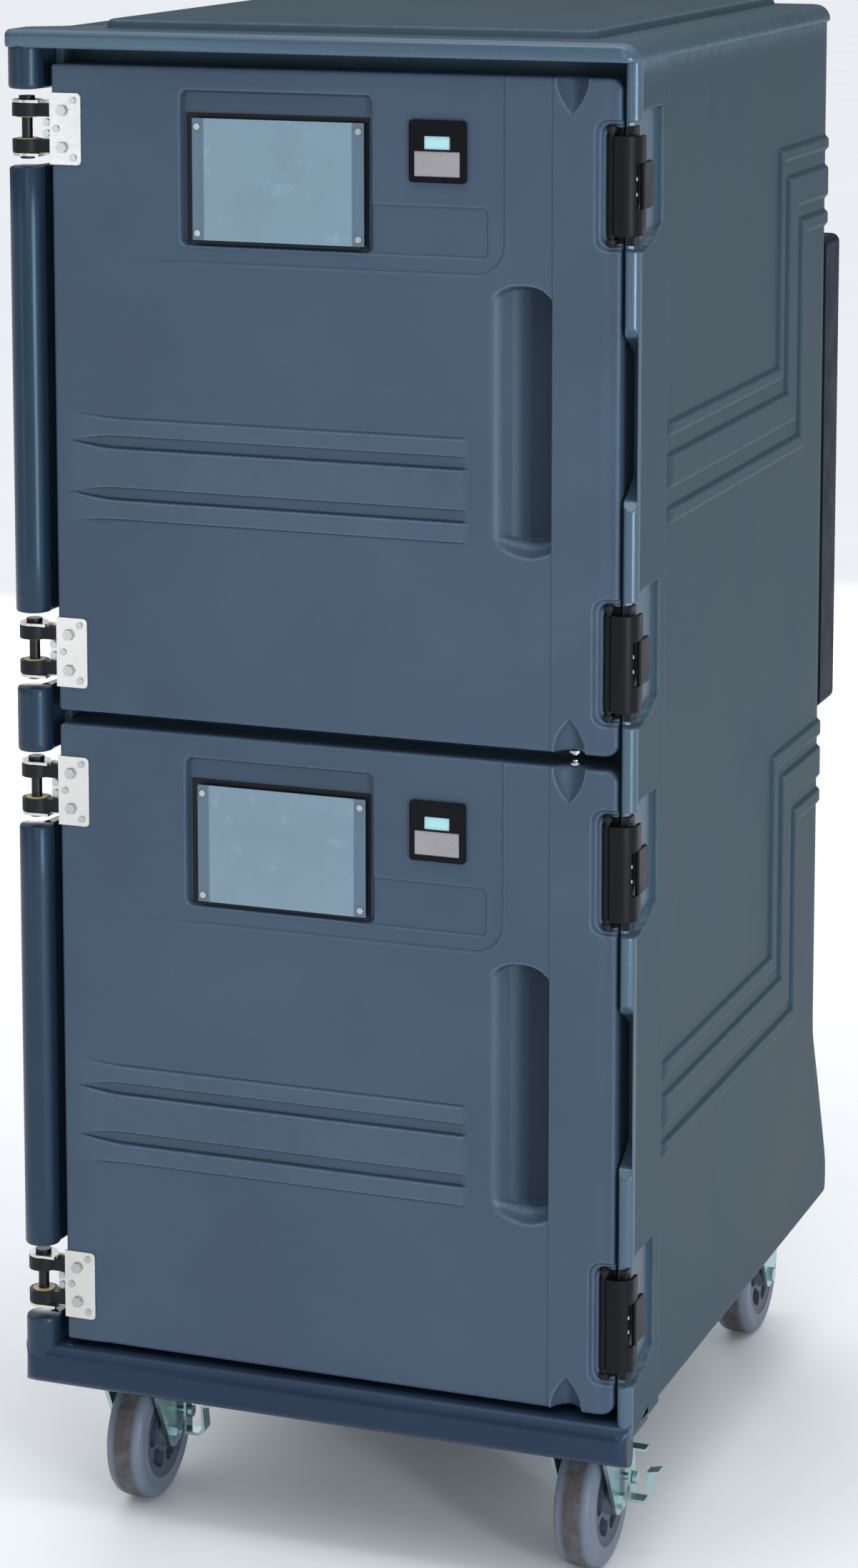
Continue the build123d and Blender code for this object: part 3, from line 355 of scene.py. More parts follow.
def graded(breaks, base, marks):
    """Positions through all the breaks, closer together near the marks (position, half width, step)."""

    def h(x):
        s = base
        for p, w, st in marks:
            s = min(s, st + 0.4 * max(0.0, abs(x - p) - w))
        return s

    out = [breaks[0]]
    for a, b in zip(breaks[:-1], breaks[1:]):
        seg = [a]
        while seg[-1] < b - 1e-9:
            x = seg[-1]
            seg.append(x + min(h(x), h(x + h(x))))
        seg = np.array(seg)
        if len(seg) > 2 and seg[-1] - b > (seg[-1] - seg[-2]) * 0.5:
            seg = seg[:-1]
        seg = a + (seg - a) * (b - a) / (seg[-1] - a)
        out += list(seg[1:])
    return np.array(out)


def mesh_from(name, verts_mm, faces, mat, body, smooth_deg=38.0, replaces=(), slot=None, wear_and_highlight=True, gain=1.0, shade=None, gloss=None):
    """A mesh piece from (x, depth, z) vertices in millimetres."""
    co = np.asarray(verts_mm, float).copy()
    co[:, 1] += YD
    co *= 0.001
    me = bpy.data.meshes.new(name)
    me.from_pydata(co.tolist(), [], faces)
    me.update()
    bm = bmesh.new()
    bm.from_mesh(me)
    bmesh.ops.recalc_face_normals(bm, faces=bm.faces)
    bm.to_mesh(me)
    bm.free()
    me.polygons.foreach_set("use_smooth", [True] * len(me.polygons))
    me.set_sharp_from_angle(angle=math.radians(smooth_deg))
    if wear_and_highlight:
        add_wear_highlight_and_shade(me, gain)
    # positive shade adds painted shade, negative shade adds painted highlight on top of the paler edges
    if shade is not None:
        for attr, sign in (("painted_shade", 1.0), ("wear_and_highlight", -1.0)):
            a = me.attributes[attr].data
            v = np.zeros(len(co), np.float32)
            a.foreach_get("value", v)
            v[: len(shade)] += np.maximum(shade * sign, 0.0)
            a.foreach_set("value", np.clip(v, 0.0, 1.0))
    if gloss is not None:
        me.attributes.new("gloss", "FLOAT", "POINT").data.foreach_set("value", np.asarray(gloss, np.float32))
    o = bpy.data.objects.new(name, me)
    scene.collection.objects.link(o)
    me.materials.append(M[mat])
    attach(o, body)
    if replaces:
        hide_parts(*replaces)
    return o


def add_wear_highlight_and_shade(me, gain=1.0):
    """Point attributes: how convex (paler edges, rubbed wear and painted highlight) or hollow (painted shade) the
    surface is at each vertex, 0 to 1.
    """
    n = len(me.vertices)
    co = np.zeros(n * 3, np.float32)
    me.vertices.foreach_get("co", co)
    co = co.reshape(-1, 3)
    no = np.zeros(n * 3, np.float32)
    me.vertices.foreach_get("normal", no)
    no = no.reshape(-1, 3)
    e = np.zeros(len(me.edges) * 2, np.int32)
    me.edges.foreach_get("vertices", e)
    e = e.reshape(-1, 2)
    d = co[e[:, 1]] - co[e[:, 0]]
    ln = np.linalg.norm(d, axis=1) + 1e-9
    # slope away from the normal along each edge, per metre
    k0 = -(d * no[e[:, 0]]).sum(1) / ln
    k1 = (d * no[e[:, 1]]).sum(1) / ln
    s = np.zeros(n)
    c = np.zeros(n)
    np.add.at(s, e[:, 0], k0)
    np.add.at(s, e[:, 1], k1)
    np.add.at(c, e[:, 0], 1)
    np.add.at(c, e[:, 1], 1)
    c = np.maximum(c, 1)
    k = s / c
    for _ in range(2):
        q = np.zeros(n)
        np.add.at(q, e[:, 0], k[e[:, 1]])
        np.add.at(q, e[:, 1], k[e[:, 0]])
        k = 0.5 * k + 0.5 * q / c
    for name, v in (("wear_and_highlight", k * 5.0 * gain - 0.10), ("painted_shade", -k * 5.5 * gain - 0.07)):
        a = me.attributes.new(name, "FLOAT", "POINT")
        a.data.foreach_set("value", np.clip(v, 0.0, 1.0).astype(np.float32))


def grid_faces(nu, nv, wrap_u=False, base=0):
    """Quads of a grid whose vertex (i, j) is base + i * nv + j."""
    out = []
    for i in range(nu if wrap_u else nu - 1):
        a, b = base + i * nv, base + ((i + 1) % nu) * nv
        out += [(a + j, b + j, b + j + 1, a + j + 1) for j in range(nv - 1)]
    return out


def loops_solid(loops):
    """Vertices and faces of a closed solid through a stack of loops of equal length."""
    n = len(loops[0])
    verts = np.concatenate([np.asarray(l, float) for l in loops])
    faces = []
    for k in range(len(loops) - 1):
        a, b = k * n, (k + 1) * n
        faces += [(a + i, a + (i + 1) % n, b + (i + 1) % n, b + i) for i in range(n)]
    faces.append(tuple(range(n)))
    faces.append(tuple((len(loops) - 1) * n + i for i in reversed(range(n))))
    return verts, faces


class Batch:
    """Several closed solids gathered into one piece."""

    def __init__(self):
        self.v, self.f, self.n = [], [], 0

    def add(self, verts, faces):
        self.v.append(np.asarray(verts, float))
        self.f += [tuple(i + self.n for i in f) for f in faces]
        self.n += len(verts)
        return self

    def make(self, name, mat, body, **kw):
        return mesh_from(name, np.concatenate(self.v), self.f, mat, body, **kw)


def rounded(points, radii, seg=6, inset=0.0):
    """Outline of a polygon (counter-clockwise) with rounded corners, moved in by inset."""
    n = len(points)
    P = [np.array(p, float) for p in points]
    lines = []
    for i in range(n):
        d = P[(i + 1) % n] - P[i]
        d /= np.linalg.norm(d)
        nrm = np.array((-d[1], d[0]))
        lines.append((P[i] + nrm * inset, d))
    out = []
    for i in range(n):
        (p, d), (q, e) = lines[i - 1], lines[i]
        cross = d[0] * e[1] - d[1] * e[0]
        if abs(cross) < 1e-9:
            c = q
        else:
            t = ((q - p)[0] * e[1] - (q - p)[1] * e[0]) / cross
            c = p + d * t
        r = radii[i] if isinstance(radii, (list, tuple)) else radii
        r = max(r - inset, 0.01) if cross > 0 else r + inset
        ang = math.acos(max(-1.0, min(1.0, float(np.dot(d, e)))))
        cut = r * math.tan(ang / 2)
        a, b = c - d * cut, c + e * cut
        nrm = np.array((-d[1], d[0])) * (1 if cross > 0 else -1)
        o = a + nrm * r
        a0 = math.atan2(*(a - o)[::-1])
        sweep = ang * (1 if cross > 0 else -1)
        for k in range(seg + 1):
            t = a0 + sweep * k / seg
            out.append((o[0] + r * math.cos(t), o[1] + r * math.sin(t)))
    return np.array(out)


def bead(h, r, n=4):
    """(inset, height) steps of a rounded edge of radius r whose top is at height h."""
    return [(r - r * math.cos(math.pi / 2 * k / n), h - r + r * math.sin(math.pi / 2 * k / n)) for k in range(n + 1)]


def corner_map(x, z, cx, cz, sx, sz, r):
    """Maps the square beyond (cx, cz) towards signs (sx, sz), of side r, onto a quarter disc."""
    a, b = (x - cx) * sx / r, (z - cz) * sz / r
    hit = (a > 0) & (b > 0)
    a2, b2 = np.clip(a, 0, 1), np.clip(b, 0, 1)
    na, nb = a2 * np.sqrt(1 - b2 * b2 / 2), b2 * np.sqrt(1 - a2 * a2 / 2)
    return np.where(hit, cx + sx * r * na, x), np.where(hit, cz + sz * r * nb, z)


# ------------------------------------------------------------------ doors
DX0, DX1 = -308.0, 339.0
DOORS = (
    ("upper", 941.0, 1655.0, 0.0, (1544.5, 1041.5), (1585.0, 1007.0)),
    ("lower", 213.0, 925.0, -731.0, (815.0, 316.0), (850.5, 279.0)),
)
BANDS = ((1252.0, 1270.0), (1195.0, 1237.0), (1160.0, 1180.0))


def door_depth(x, z, z0, z1, latch_z, hinge_z):
    """Depth of the door's front skin; heights are those of the upper door."""
    # main field, framed by a crease on the right and a soft rise on the left
    D = 0.30 + 1.5 * inside(x - 265.0, 2.6) * sm((x + 278.0) / 22.0) + 0.5 * inside(np.abs(x - 265.6) - 0.4, 2.2)
    # deeper upper field with one rounded corner, fading out to the left
    field = inside(rrect(x, z, -900.0, 212.0, 1445.0, 2600.0, 34.0), 3.6)
    D = D + 1.7 * field * sm((x + 250.0) / 150.0)
    # three raised bands flush with the border; the strips between them tilt down and narrow to the left
    reach = sm((174.0 - x) / 13.0)
    pinch = np.clip((-236.0 - x) / 56.0, 0, 1) ** 1.6
    fade = sm((x + 299.0) / 26.0)
    shade = 0.0
    edges = []
    for (lo, hi), (du, dl) in zip(BANDS, ((7.0, -7.0), (6.5, -6.5), (7.0, -4.0))):
        edges.append((lo + dl * pinch, hi + du * pinch))
    raised = 0.0
    for k, (lo, hi) in enumerate(edges):
        raised = np.maximum(raised, inside(lo - z, 1.8) * inside(z - hi, 1.8))
    D = D - raised * 1.5 * reach * inside(x - 265.0, 2.6) * sm((x + 278.0) / 22.0)
    for k, (lo, hi) in enumerate(edges):
        # groove over the top edge, finer one under the lower edge
        D = D + (1.25 - 0.7 * sm((-235.0 - x) / 50.0) * (k == 0)) * inside(np.abs(z - hi - 1.8) - 0.7, 3.8) * reach * fade
        D = D + 0.55 * inside(np.abs(z - lo + 1.0) - 0.3, 2.6) * reach * fade
        if k < 2:
            nxt = edges[k + 1][1]
            t = np.clip((lo - z) / np.maximum(lo - nxt, 0.5), 0, 1)
            zone = ((z < lo) & (z > nxt)) * reach * fade * inside(nxt + 0.6 - z, 1.4)
            D = D + 2.1 * t * zone
            # painted shade on the tilted strips between the bands
            shade = shade + (0.14 + 0.14 * t) * zone
    # hollow behind the bands' right ends
    D = D + 0.5 * inside(np.abs(x - 175.0) - 1.5, 7.0) * inside(np.abs(z - 1217.0) - 52.0, 8.0)
    # slow waviness of the moulding
    slow = np.sin(x / 44.0 + 0.9 * np.sin(z / 97.0)) * np.sin(z / 71.0 + 1.3) + 0.5 * np.sin(x / 26.0 + z / 83.0 + 2.0)
    D = D + 0.22 * (1.5 + slow) * sm((1425.0 - z) / 60.0) * sm((250.0 - x) / 40.0) * sm((x + 270.0) / 60.0) * sm((z - z0 - 20.0) / 60.0)
    # shallow rectangular panel beside the document holder
    D = D + 1.8 * inside(rrect(x, z, 40.0, 193.0, 1463.0, 1516.0, 6.0), 2.6)
    # document holder recess with a softened rim
    sd = rrect(x, z, -157.0, 62.0, 1464.0, 1630.0, 7.0)
    D = D + 0.9 * inside(sd - 3.0, 7.0)
    h = inside(sd, 3.2)
    D = D * (1 - h) + 12.0 * h
    # instrument pocket, under its bezel
    h = inside(rrect(x, z, 107.4, 168.6, 1542.4, 1605.6, 1.0), 0.9)
    D = D * (1 - h) + 14.2 * h
    # pull recess: gentle left flank, deep right side, sloping ledge below
    prof = np.interp(x, (195.0, 199.0, 203.0, 207.0, 211.0, 215.0, 220.0, 226.0, 234.0, 245.0, 256.0, 260.0, 262.4), (0.0, 0.9, 3.2, 7.2, 12.0, 16.6, 21.0, 24.0, 26.0, 27.0, 27.2, 26.6, 24.5))
    prof = prof * inside(x - 263.6, 2.6)
    ztop = 1436.0 - 13.0 * (np.clip(np.abs(x - 231.0) / 33.0, 0, 1)) ** 2.6
    zbot = 1147.0 + 15.0 * np.clip((238.0 - x) / 42.0, 0, 1) ** 1.7 + 7.0 * np.clip((x - 238.0) / 26.0, 0, 1) ** 2
    ends = inside(z - ztop + 2.0, 6.0) * np.clip((z - zbot) / 14.0, 0.0, 1.0) ** 0.85
    D = D + prof * ends
    # painted shadow over the deep right side of the pull recess
    shade = shade + 0.92 * sm((x - 212.0) / 18.0) * inside(x - 263.0, 2.0) * sm((z - zbot - 10.0) / 10.0) * inside(z - ztop + 4.0, 12.0)
    # painted highlight on the ledge of the pull recess and on the fronts of the bands
    shade = shade - 0.75 * inside(np.abs(z - zbot - 9.0) - 1.5, 5.0) * sm((x - 197.0) / 12.0) * sm((262.0 - x) / 12.0)
    shade = shade - 0.10 * raised * reach * sm((x + 300.0) / 20.0)
    # pointed scoops at the top and bottom edges
    for edge, s in ((z0, 1.0), (z1, -1.0)):
        v = np.clip((z - edge) * s / 38.0, 0, 1)
        half = 18.0 * (1 - v ** 2.1)
        u = np.clip((x - 286.0) / np.maximum(half, 0.05), -1, 1)
        D = D + 17.0 * (1 - v) ** 0.7 * (1 - u * u) ** 0.85
    # latch recesses with a stepped rim, open to the edge
    for lz in latch_z:
        a = inside(rrect(x, z, 311.5, 420.0, lz - 68.0, lz + 68.0, 13.0), 3.0)
        b = inside(rrect(x, z, 316.8, 420.0, lz - 63.6, lz + 63.6, 11.0), 3.0)
        c = inside(rrect(x, z, 322.0, 420.0, lz - 59.5, lz + 59.5, 9.0), 2.4)
        D = D + 2.9 * a + 2.9 * b + 10.6 * c
    # softened right border between the latches
    D = D + 1.6 * sm((x - 317.0) / 14.0)
    # pockets under the hinge leaves
    for hz in hinge_z:
        h = inside(rrect(x, z, -400.0, -274.4, hz - 27.1, hz + 27.1, 0.5), 0.9)
        D = D * (1 - h) + 18.2 * h
    return D, shade


for name, z0, z1, shift, latch_z, hinge_z in DOORS:
    zu0, zu1 = z0 - shift, z1 - shift
    lz = [v - shift for v in latch_z]
    hz = [v - shift for v in hinge_z]
    xs = graded(
        [DX0, DX1], 9.0,
        [(DX0, 4, 0.8), (-274.4, 1.2, 0.45), (-268, 12, 2.5), (-285, 12, 4), (-157, 5, 0.8), (62, 5, 0.8), (193, 3, 0.8), (212, 4, 0.9),
         (107.4, 1, 0.4), (168.6, 1, 0.4), (205, 12, 2.2), (238, 24, 3.0), (264.4, 3, 0.6), (286, 20, 0.95), (316.5, 8, 0.75), (332, 8, 1.3), (DX1, 4.5, 0.6)],
    )
    marks = [(zu0, 4, 0.7), (zu1, 4, 0.7), (zu0 + 20, 20, 1.15), (zu1 - 20, 20, 1.15), (1155, 10, 1.2), (1431, 7, 1.1), (1445, 4, 0.9),
             (1463, 3, 0.7), (1516, 3, 0.7), (1464, 5, 0.8), (1630, 5, 0.8), (1542.4, 1, 0.4), (1605.6, 1, 0.4)]
    for lo, hi in BANDS:
        marks += [(lo - 1, 3.0, 0.7), (hi + 1.6, 3.0, 0.7), (lo - 5, 8, 1.6), (hi + 6, 8, 1.6)]
    for v in lz:
        marks += [(v - 63, 9, 0.9), (v + 63, 9, 0.9)]
    for v in hz:
        marks += [(v - 27.1, 1, 0.45), (v + 27.1, 1, 0.45)]
    zs = graded([zu0, zu1], 11.0, marks)
    X, Z = np.meshgrid(xs, zs, indexing="ij")
    for cx, cz, sx, sz, r in ((DX1 - 14, zu0 + 14, 1, -1, 14.0), (DX1 - 14, zu1 - 14, 1, 1, 14.0), (DX0 + 4, zu0 + 4, -1, -1, 4.0), (DX0 + 4, zu1 - 4, -1, 1, 4.0)):
        X, Z = corner_map(X, Z, cx, cz, sx, sz, r)
    # distance in from the outline, for the rolled edge
    right = -rrect(X, Z, DX0 - 400, DX1, zu0, zu1, 14.0)
    left = -rrect(X, Z, DX0, DX1 + 400, zu0, zu1, 4.0)
    t = np.clip(np.minimum(right, left), 0, 5.0)
    roll = 5.0 - np.sqrt(np.maximum(25.0 - (5.0 - t) ** 2, 0))
    D, shade = door_depth(X, Z, zu0, zu1, lz, hz)
    D = D + roll * 0.8
    nu, nv = X.shape
    V = np.stack([X, D, Z + shift], -1).reshape(-1, 3)
    F = grid_faces(nu, nv)
    ring = [i * nv for i in range(nu)] + [(nu - 1) * nv + j for j in range(1, nv)] + [i * nv + nv - 1 for i in range(nu - 2, -1, -1)] + [j for j in range(nv - 2, 0, -1)]
    n, cur, verts = len(ring), ring, [V]
    count = len(V)
    for frac in (0.25, 0.6, 1.0):
        W = V[ring].copy()
        W[:, 1] = W[:, 1] + (52.0 - W[:, 1]) * frac
        nxt = list(range(count, count + n))
        verts.append(W)
        count += n
        F += [(cur[i], cur[(i + 1) % n], nxt[(i + 1) % n], nxt[i]) for i in range(n)]
        cur = nxt
    F.append(tuple(reversed(cur)))
    mesh_from(name + "_door_skin", np.concatenate(verts), F, "door", "door_" + name, replaces=(name + "_door_shell",), slot="door_plastic", shade=shade.reshape(-1))


# ------------------------------------------------------------------ cabinet skin
Z_BASE, Z_LIP = 190.0, 1672.0
BACK = 766.0
RIBS = (
    ((1535.0, 17.0, 552.0, 1282.0), (1500.0, 39.0, 588.0, 1247.0), (1446.0, 19.0, 645.0, 1189.0)),
    ((819.0, 22.0, 548.0, 576.0), (786.0, 40.0, 590.0, 538.0), (733.0, 20.0, 645.0, 485.0)),
)
LATCH_Z = (1544.5, 1041.5, 815.0, 316.0)
FINGER_Z = (1301.0, 577.0)
MOUTH_X = (-258.0, 298.0)
MOUTHS = ((977.0, 1623.0), (249.0, 893.0))


def back_depth(z):
    """Depth of the back wall and its flared foot, with the bends eased."""
    zz = np.array([190.0, 202.0, 232.0, 361.0, 420.0, 1700.0])
    dd = np.array([828.0, 838.0, 838.0, 790.0, 766.0, 766.0])
    acc = 0.0
    for k, w in zip((-24, -12, 0, 12, 24), (0.1, 0.2, 0.4, 0.2, 0.1)):
        acc = acc + w * np.interp(np.maximum(z + k, 196.0 if k else 190.0), zz, dd)
    return np.minimum(acc, 838.0)


def rib_height(y, z):
    """0 to 1: how far the stepped ribs stand up at a depth and height of the side panels."""
    out = np.zeros(np.shape(y))
    for group in RIBS:
        for top, h, v, low in group:
            pts = [(1000.0, top), (v, top), (v, low), (113.0, low), (113.0, low - h), (v + h, low - h), (v + h, top - h), (1000.0, top - h)]
            out = np.maximum(out, inside(poly_sd(y, z, pts) + 1.2, 6.5))
    return out * sm((y - 110.0) / 20.0)


z_marks = [(Z_BASE, 8, 1.6), (202, 8, 3), (232, 30, 7), (361, 40, 8), (420, 40, 8)]
for group in RIBS:
    for top, h, v, low in group:
        z_marks += [(top - 1.2, 4, 1.25), (top - h + 1.2, 4, 1.25), (low - 1.2, 4, 1.25), (low - h + 1.2, 4, 1.25)]
for v in LATCH_Z:
    z_marks += [(v - 67, 3, 0.8), (v + 67, 3, 0.8), (v - 45, 2, 1.4), (v + 77, 3, 0.9), (v - 56, 10, 2.0), (v + 72, 4, 1.4)]
for v in FINGER_Z:
    z_marks += [(v - 82, 18, 1.2), (v + 82, 18, 1.2)]
eps = 0.05
breaks = [Z_BASE]
for a, b in sorted(MOUTHS):
    breaks += [a, a + eps, b - eps, b]
breaks.append(Z_LIP + 2.0)
zs = graded(breaks, 14.0, z_marks)
nz = len(zs)

# stations round the plan: (kind, parameter a, parameter b)
st = []
for y in (61.0, 50.0, 42.0, 40.0, 30.0, 20.0, 12.0, 8.0):
    st.append(("jr", 343.0, y))
for x, y in ((343.0, 6.4), (343.3, 4.3), (344.1, 2.3), (345.4, 0.6), (347.1, -0.8), (349.2, -1.7), (351.2, -2.0), (352.9, -1.8), (354.5, -1.2), (355.9, -0.3), (357.1, 0.6), (358.0, 1.5), (358.7, 2.4), (359.2, 3.3), (359.6, 4.3), (359.9, 5.4), (360.0, 6.4)):
    st.append(("jr", x, y))
side_marks = [(6.4, 2, 1.4), (28, 3, 1.6), (20, 8, 2.5), (78, 4, 0.9), (108, 5, 1.1)]
for group in RIBS:
    for top, h, v, low in group:
        side_marks += [(v + 1.2, 4, 1.3), (v + h - 1.2, 4, 1.3)]
side_marks += [(113, 5, 1.2)]
for y in graded([6.4, 754.0], 14.0, side_marks)[1:]:
    st.append(("sr", y, 0))
for k in range(1, 7):
    st.append(("cr", math.pi / 2 * k / 7, 0))
for x in graded([-306.0, 343.0], 26.0, [(-306, 4, 3), (343, 4, 3)])[::-1]:
    st.append(("bk", x, 0))
for k in range(1, 7):
    st.append(("cl", math.pi / 2 * k / 7, 0))
for y in graded([45.0, 754.0], 16.0, side_marks[4:])[::-1]:
    st.append(("sl", y, 0))
for x, y in ((-321.6, 42.4), (-320.5, 40.8), (-318.8, 40.0), (-316.0, 40.0), (-313.4, 40.0), (-311.8, 40.7), (-311.1, 42.2), (-311.0, 45.0), (-311.0, 53.0), (-311.0, 61.0)):
    st.append(("jl", x, y))
for x in (-311.0, -290.0, -268.0, MOUTH_X[0], MOUTH_X[0] + eps, -180.0, -80.0, 20.0, 120.0, 220.0, MOUTH_X[1] - eps, MOUTH_X[1], 310.0, 328.0, 343.0):
    st.append(("fr", x, 0))

B = back_depth(zs)
cut_back = np.full(nz, -3.0)  # the jamb's front is cut back to here in the latch notches
for v in LATCH_Z:
    cut_back = np.maximum(cut_back, -3.0 + 10.0 * inside(np.abs(zs - v) - 67.0, 2.4))
channel = np.full(nz, -3.0)  # and here in the finger channels, which leave a thin outer rim
for v in FINGER_Z:
    channel = np.maximum(channel, np.interp(98.0 - np.abs(zs - v), (0.0, 12.0, 18.0, 34.0), (-3.0, 7.0, 18.0, 40.0)))

zero = np.zeros(nz)
rb_l, rb_r = 12.0, 12.0
cols = []
for kind, a, b in st:
    if kind == "jr":
        x = zero + a
        y = np.maximum(b, cut_back)
        if a < 358.5:
            y = np.maximum(y, channel)
        x = x - np.clip((cut_back + 3.0) / 10.0, 0, 1) * max(0.0, a - 346.0)
    elif kind == "sr":
        f = np.maximum(cut_back + 2.0, 6.4)
        y = np.where(a < 60.0, f + (a - 6.4) * (60.0 - f) / (60.0 - 6.4), a) + zero
        x = 355.0 + 5.0 * inside(y - 108.0, 18.0)
        for v in LATCH_Z:
            pts = [(-30, v - 67), (28, v - 67), (78, v - 45), (78, v + 77), (20, v + 77), (0, v + 67), (-30, v + 67)]
            x = x - (9.5 - 3.2 * np.clip((y - 30.0) / 46.0, 0, 1)) * inside(poly_sd(y, zs, pts) - 0.6, 3.0)
        x = x + 4.0 * rib_height(y, zs) * (y > 100)
        y = np.where(a > 400.0, a + (B - BACK) * sm((a - 400.0) / 354.0), y)
    elif kind in ("cr", "cl"):
        rib = rib_height(zero + 766.0, zs)
        rx = rib * (4.0 if kind == "cr" else 3.0)
        c = (343.0, 1.0) if kind == "cr" else (-306.0, -1.0)
        ang = a if kind == "cr" else math.pi / 2 - a
        x = c[0] + c[1] * (rb_r + rx) * math.cos(ang)
        y = B - 12.0 + (12.0 + 7.0 * rib) * math.sin(ang)
    elif kind == "bk":
        x = zero + a
        y = B + 7.0 * rib_height(zero + 766.0, zs)
    elif kind == "sl":
        y = zero + a
        x = -318.0 - 4.0 * inside(y - 108.0, 3.4) - 3.0 * rib_height(y, zs) * (y > 100)
        y = np.where(a > 400.0, a + (B - BACK) * sm((a - 400.0) / 354.0), y)
    elif kind == "jl":
        x, y = zero + a, zero + b
    else:
        x, y = zero + a, zero + 62.3
        if MOUTH_X[0] < a < MOUTH_X[1]:
            for z0, z1 in MOUTHS:
                y = np.where((zs > z0) & (zs < z1), 717.0, y)
    cols.append(np.stack([x, y, zs], -1))
P = np.stack(cols)  # station, height, xyz
# eased lower edge
tb = np.clip(zs - Z_BASE, 0, 7.0)
pull = 7.0 - np.sqrt(np.maximum(49.0 - (7.0 - tb) ** 2, 0))
cx, cy = 18.5, 400.0
for i, (kind, a, b) in enumerate(st):
    if kind == "sr":
        P[i, :, 0] -= pull
    elif kind == "sl":
        P[i, :, 0] += pull
    elif kind in ("cr", "cl"):
        P[i, :, 0] -= pull * (1 if kind == "cr" else -1)
        P[i, :, 1] -= pull
    elif kind == "bk":
        P[i, :, 1] -= pull
ns = len(st)
F = grid_faces(ns, nz, wrap_u=True)
F.append(tuple(i * nz for i in range(ns)))
F.append(tuple(i * nz + nz - 1 for i in reversed(range(ns))))
# front of the right jamb and the latch pockets: more gloss and painted front light
lit = P.reshape(-1, 3)
pocket = sum(inside(rrect(lit[:, 1], lit[:, 2], 0.0, 79.5, v - 69.0, v + 79.0, 6.0), 3.0) for v in LATCH_Z) * (lit[:, 0] > 340.0) * (lit[:, 0] < 354.9)
lit = np.maximum(sm((11.0 - lit[:, 1]) / 4.0) * (lit[:, 0] > 342.0) * sm((360.6 - lit[:, 0]) / 1.2 + 0.2), np.clip(pocket, 0, 1) * 0.9)
mesh_from("cabinet_skin", P.reshape(-1, 3), F, "body", "cabinet", replaces=("outer_shell",), slot="body_plastic", gloss=lit)

# top cap with its overhanging lip
def roll_over(x, z, i, r=18.0):
    """Right-hand side of the cap, rounded over to the roof; i is the inset already taken."""
    k = np.clip(z - (1692.0 - r), 0.0, r)
    drop = np.maximum(r - np.sqrt(r * r - k * k) - i, 0.0)
    return x - drop * sm((x - 318.0) / 30.0)


cap_pts = [(-360.0, -12.0), (360.0, -12.0), (360.0, 766.0), (-322.0, 766.0), (-322.0, 70.0), (-360.0, 40.0)]
cap_rad = [10.0, 18.0, 16.0, 12.0, 8.0, 8.0]
levels = [(3.0, 1672.0), (0.9, 1672.9), (0.0, 1675.0), (0.0, 1678.0), (0.0, 1681.5), (0.0, 1684.5)] + [(i, z) for i, z in bead(1692.0, 7.5, 6)][1:] + [(10.0, 1692.0)]
loops = [np.array([(roll_over(x, z, i), y, z) for x, y in rounded(cap_pts, cap_rad, 8, i)]) for i, z in levels]
cap = Batch().add(*loops_solid(loops))
# raised roof panel
pan = [(-262.0, 30.0), (300.0, 30.0), (300.0, 740.0), (-262.0, 740.0)]
levels = [(-1.5, 1690.0), (-1.5, 1692.0), (-0.6, 1692.7), (0.4, 1694.2), (2.2, 1699.0), (3.0, 1700.6), (4.2, 1701.6), (6.0, 1702.0), (9.0, 1702.0)]
loops = [np.array([(x, y, z) for x, y in rounded(pan, 22.0, 8, i)]) for i, z in levels]
cap.add(*loops_solid(loops))
# the lip's front face: more gloss and painted front light
front = np.concatenate(cap.v)[:, 1]
cap.make("cabinet_top", "body", "cabinet", slot="body_plastic", gloss=sm((2.0 - front) / 8.0))

# sill with the hanging apron
prof = rounded([(62.3, 206.0), (-2.0, 206.0), (-12.0, 193.0), (-12.0, 166.0), (-6.0, 160.0), (4.0, 160.0), (9.0, 170.0), (9.0, 190.0), (62.3, 190.0)],
               [1.0, 14.0, 19.0, 13.0, 5.5, 4.0, 4.0, 1.0, 1.0], 7)
xs = graded([-360.0, 360.0], 24.0, [(-360, 18, 1.6), (360, 18, 1.6)])
X = np.repeat(xs[:, None], len(prof), 1)
Y = np.repeat(prof[None, :, 0], len(xs), 0)
for s in (-1.0, 1.0):
    X, Y = corner_map(X, Y, s * 342.0, 6.0, s, -1.0, 18.0)
Z = np.repeat(prof[None, :, 1], len(xs), 0)
V = np.stack([X, Y, Z], -1)
V2, F2 = loops_solid([V[i] for i in range(len(xs))])
sill = Batch().add(V2, F2)
sill.make("cabinet_sill", "trim", "cabinet", slot="body_plastic", gain=0.3)

# half-round hinge columns on their webs
col = Batch()
for z0, z1 in ((1627.0, 1676.0), (1049.0, 1543.0), (892.0, 965.0), (321.0, 808.0), (190.0, 237.0)):
    levels = [(4.0, z0), (1.2, z0 + 0.9), (0.0, z0 + 3.2)]
    levels += [(0.0, z0 + (z1 - z0) * k / 8) for k in range(1, 8)]
    levels += [(0.0, z1 - 3.2), (1.2, z1 - 0.9), (4.0, z1)]
    loops = [np.array([(-340.0 + (20.0 - i) * math.cos(t), 8.0 + (20.0 - i) * math.sin(t), z) for t in np.linspace(0, 2 * math.pi, 49)[:-1]]) for i, z in levels]
    col.add(*loops_solid(loops))
    web = [(-338.0, 11.0), (-322.5, 11.0), (-320.0, 46.0), (-334.0, 46.0)]
    levels = [(2.0, z0), (0.0, z0 + 2.0), (0.0, z1 - 2.0), (2.0, z1)]
    col.add(*loops_solid([np.array([(x, y, z) for x, y in rounded(web, 3.0, 3, i)]) for i, z in levels]))
col.make("hinge_columns", "column", "cabinet", slot="body_plastic", gain=0.22)


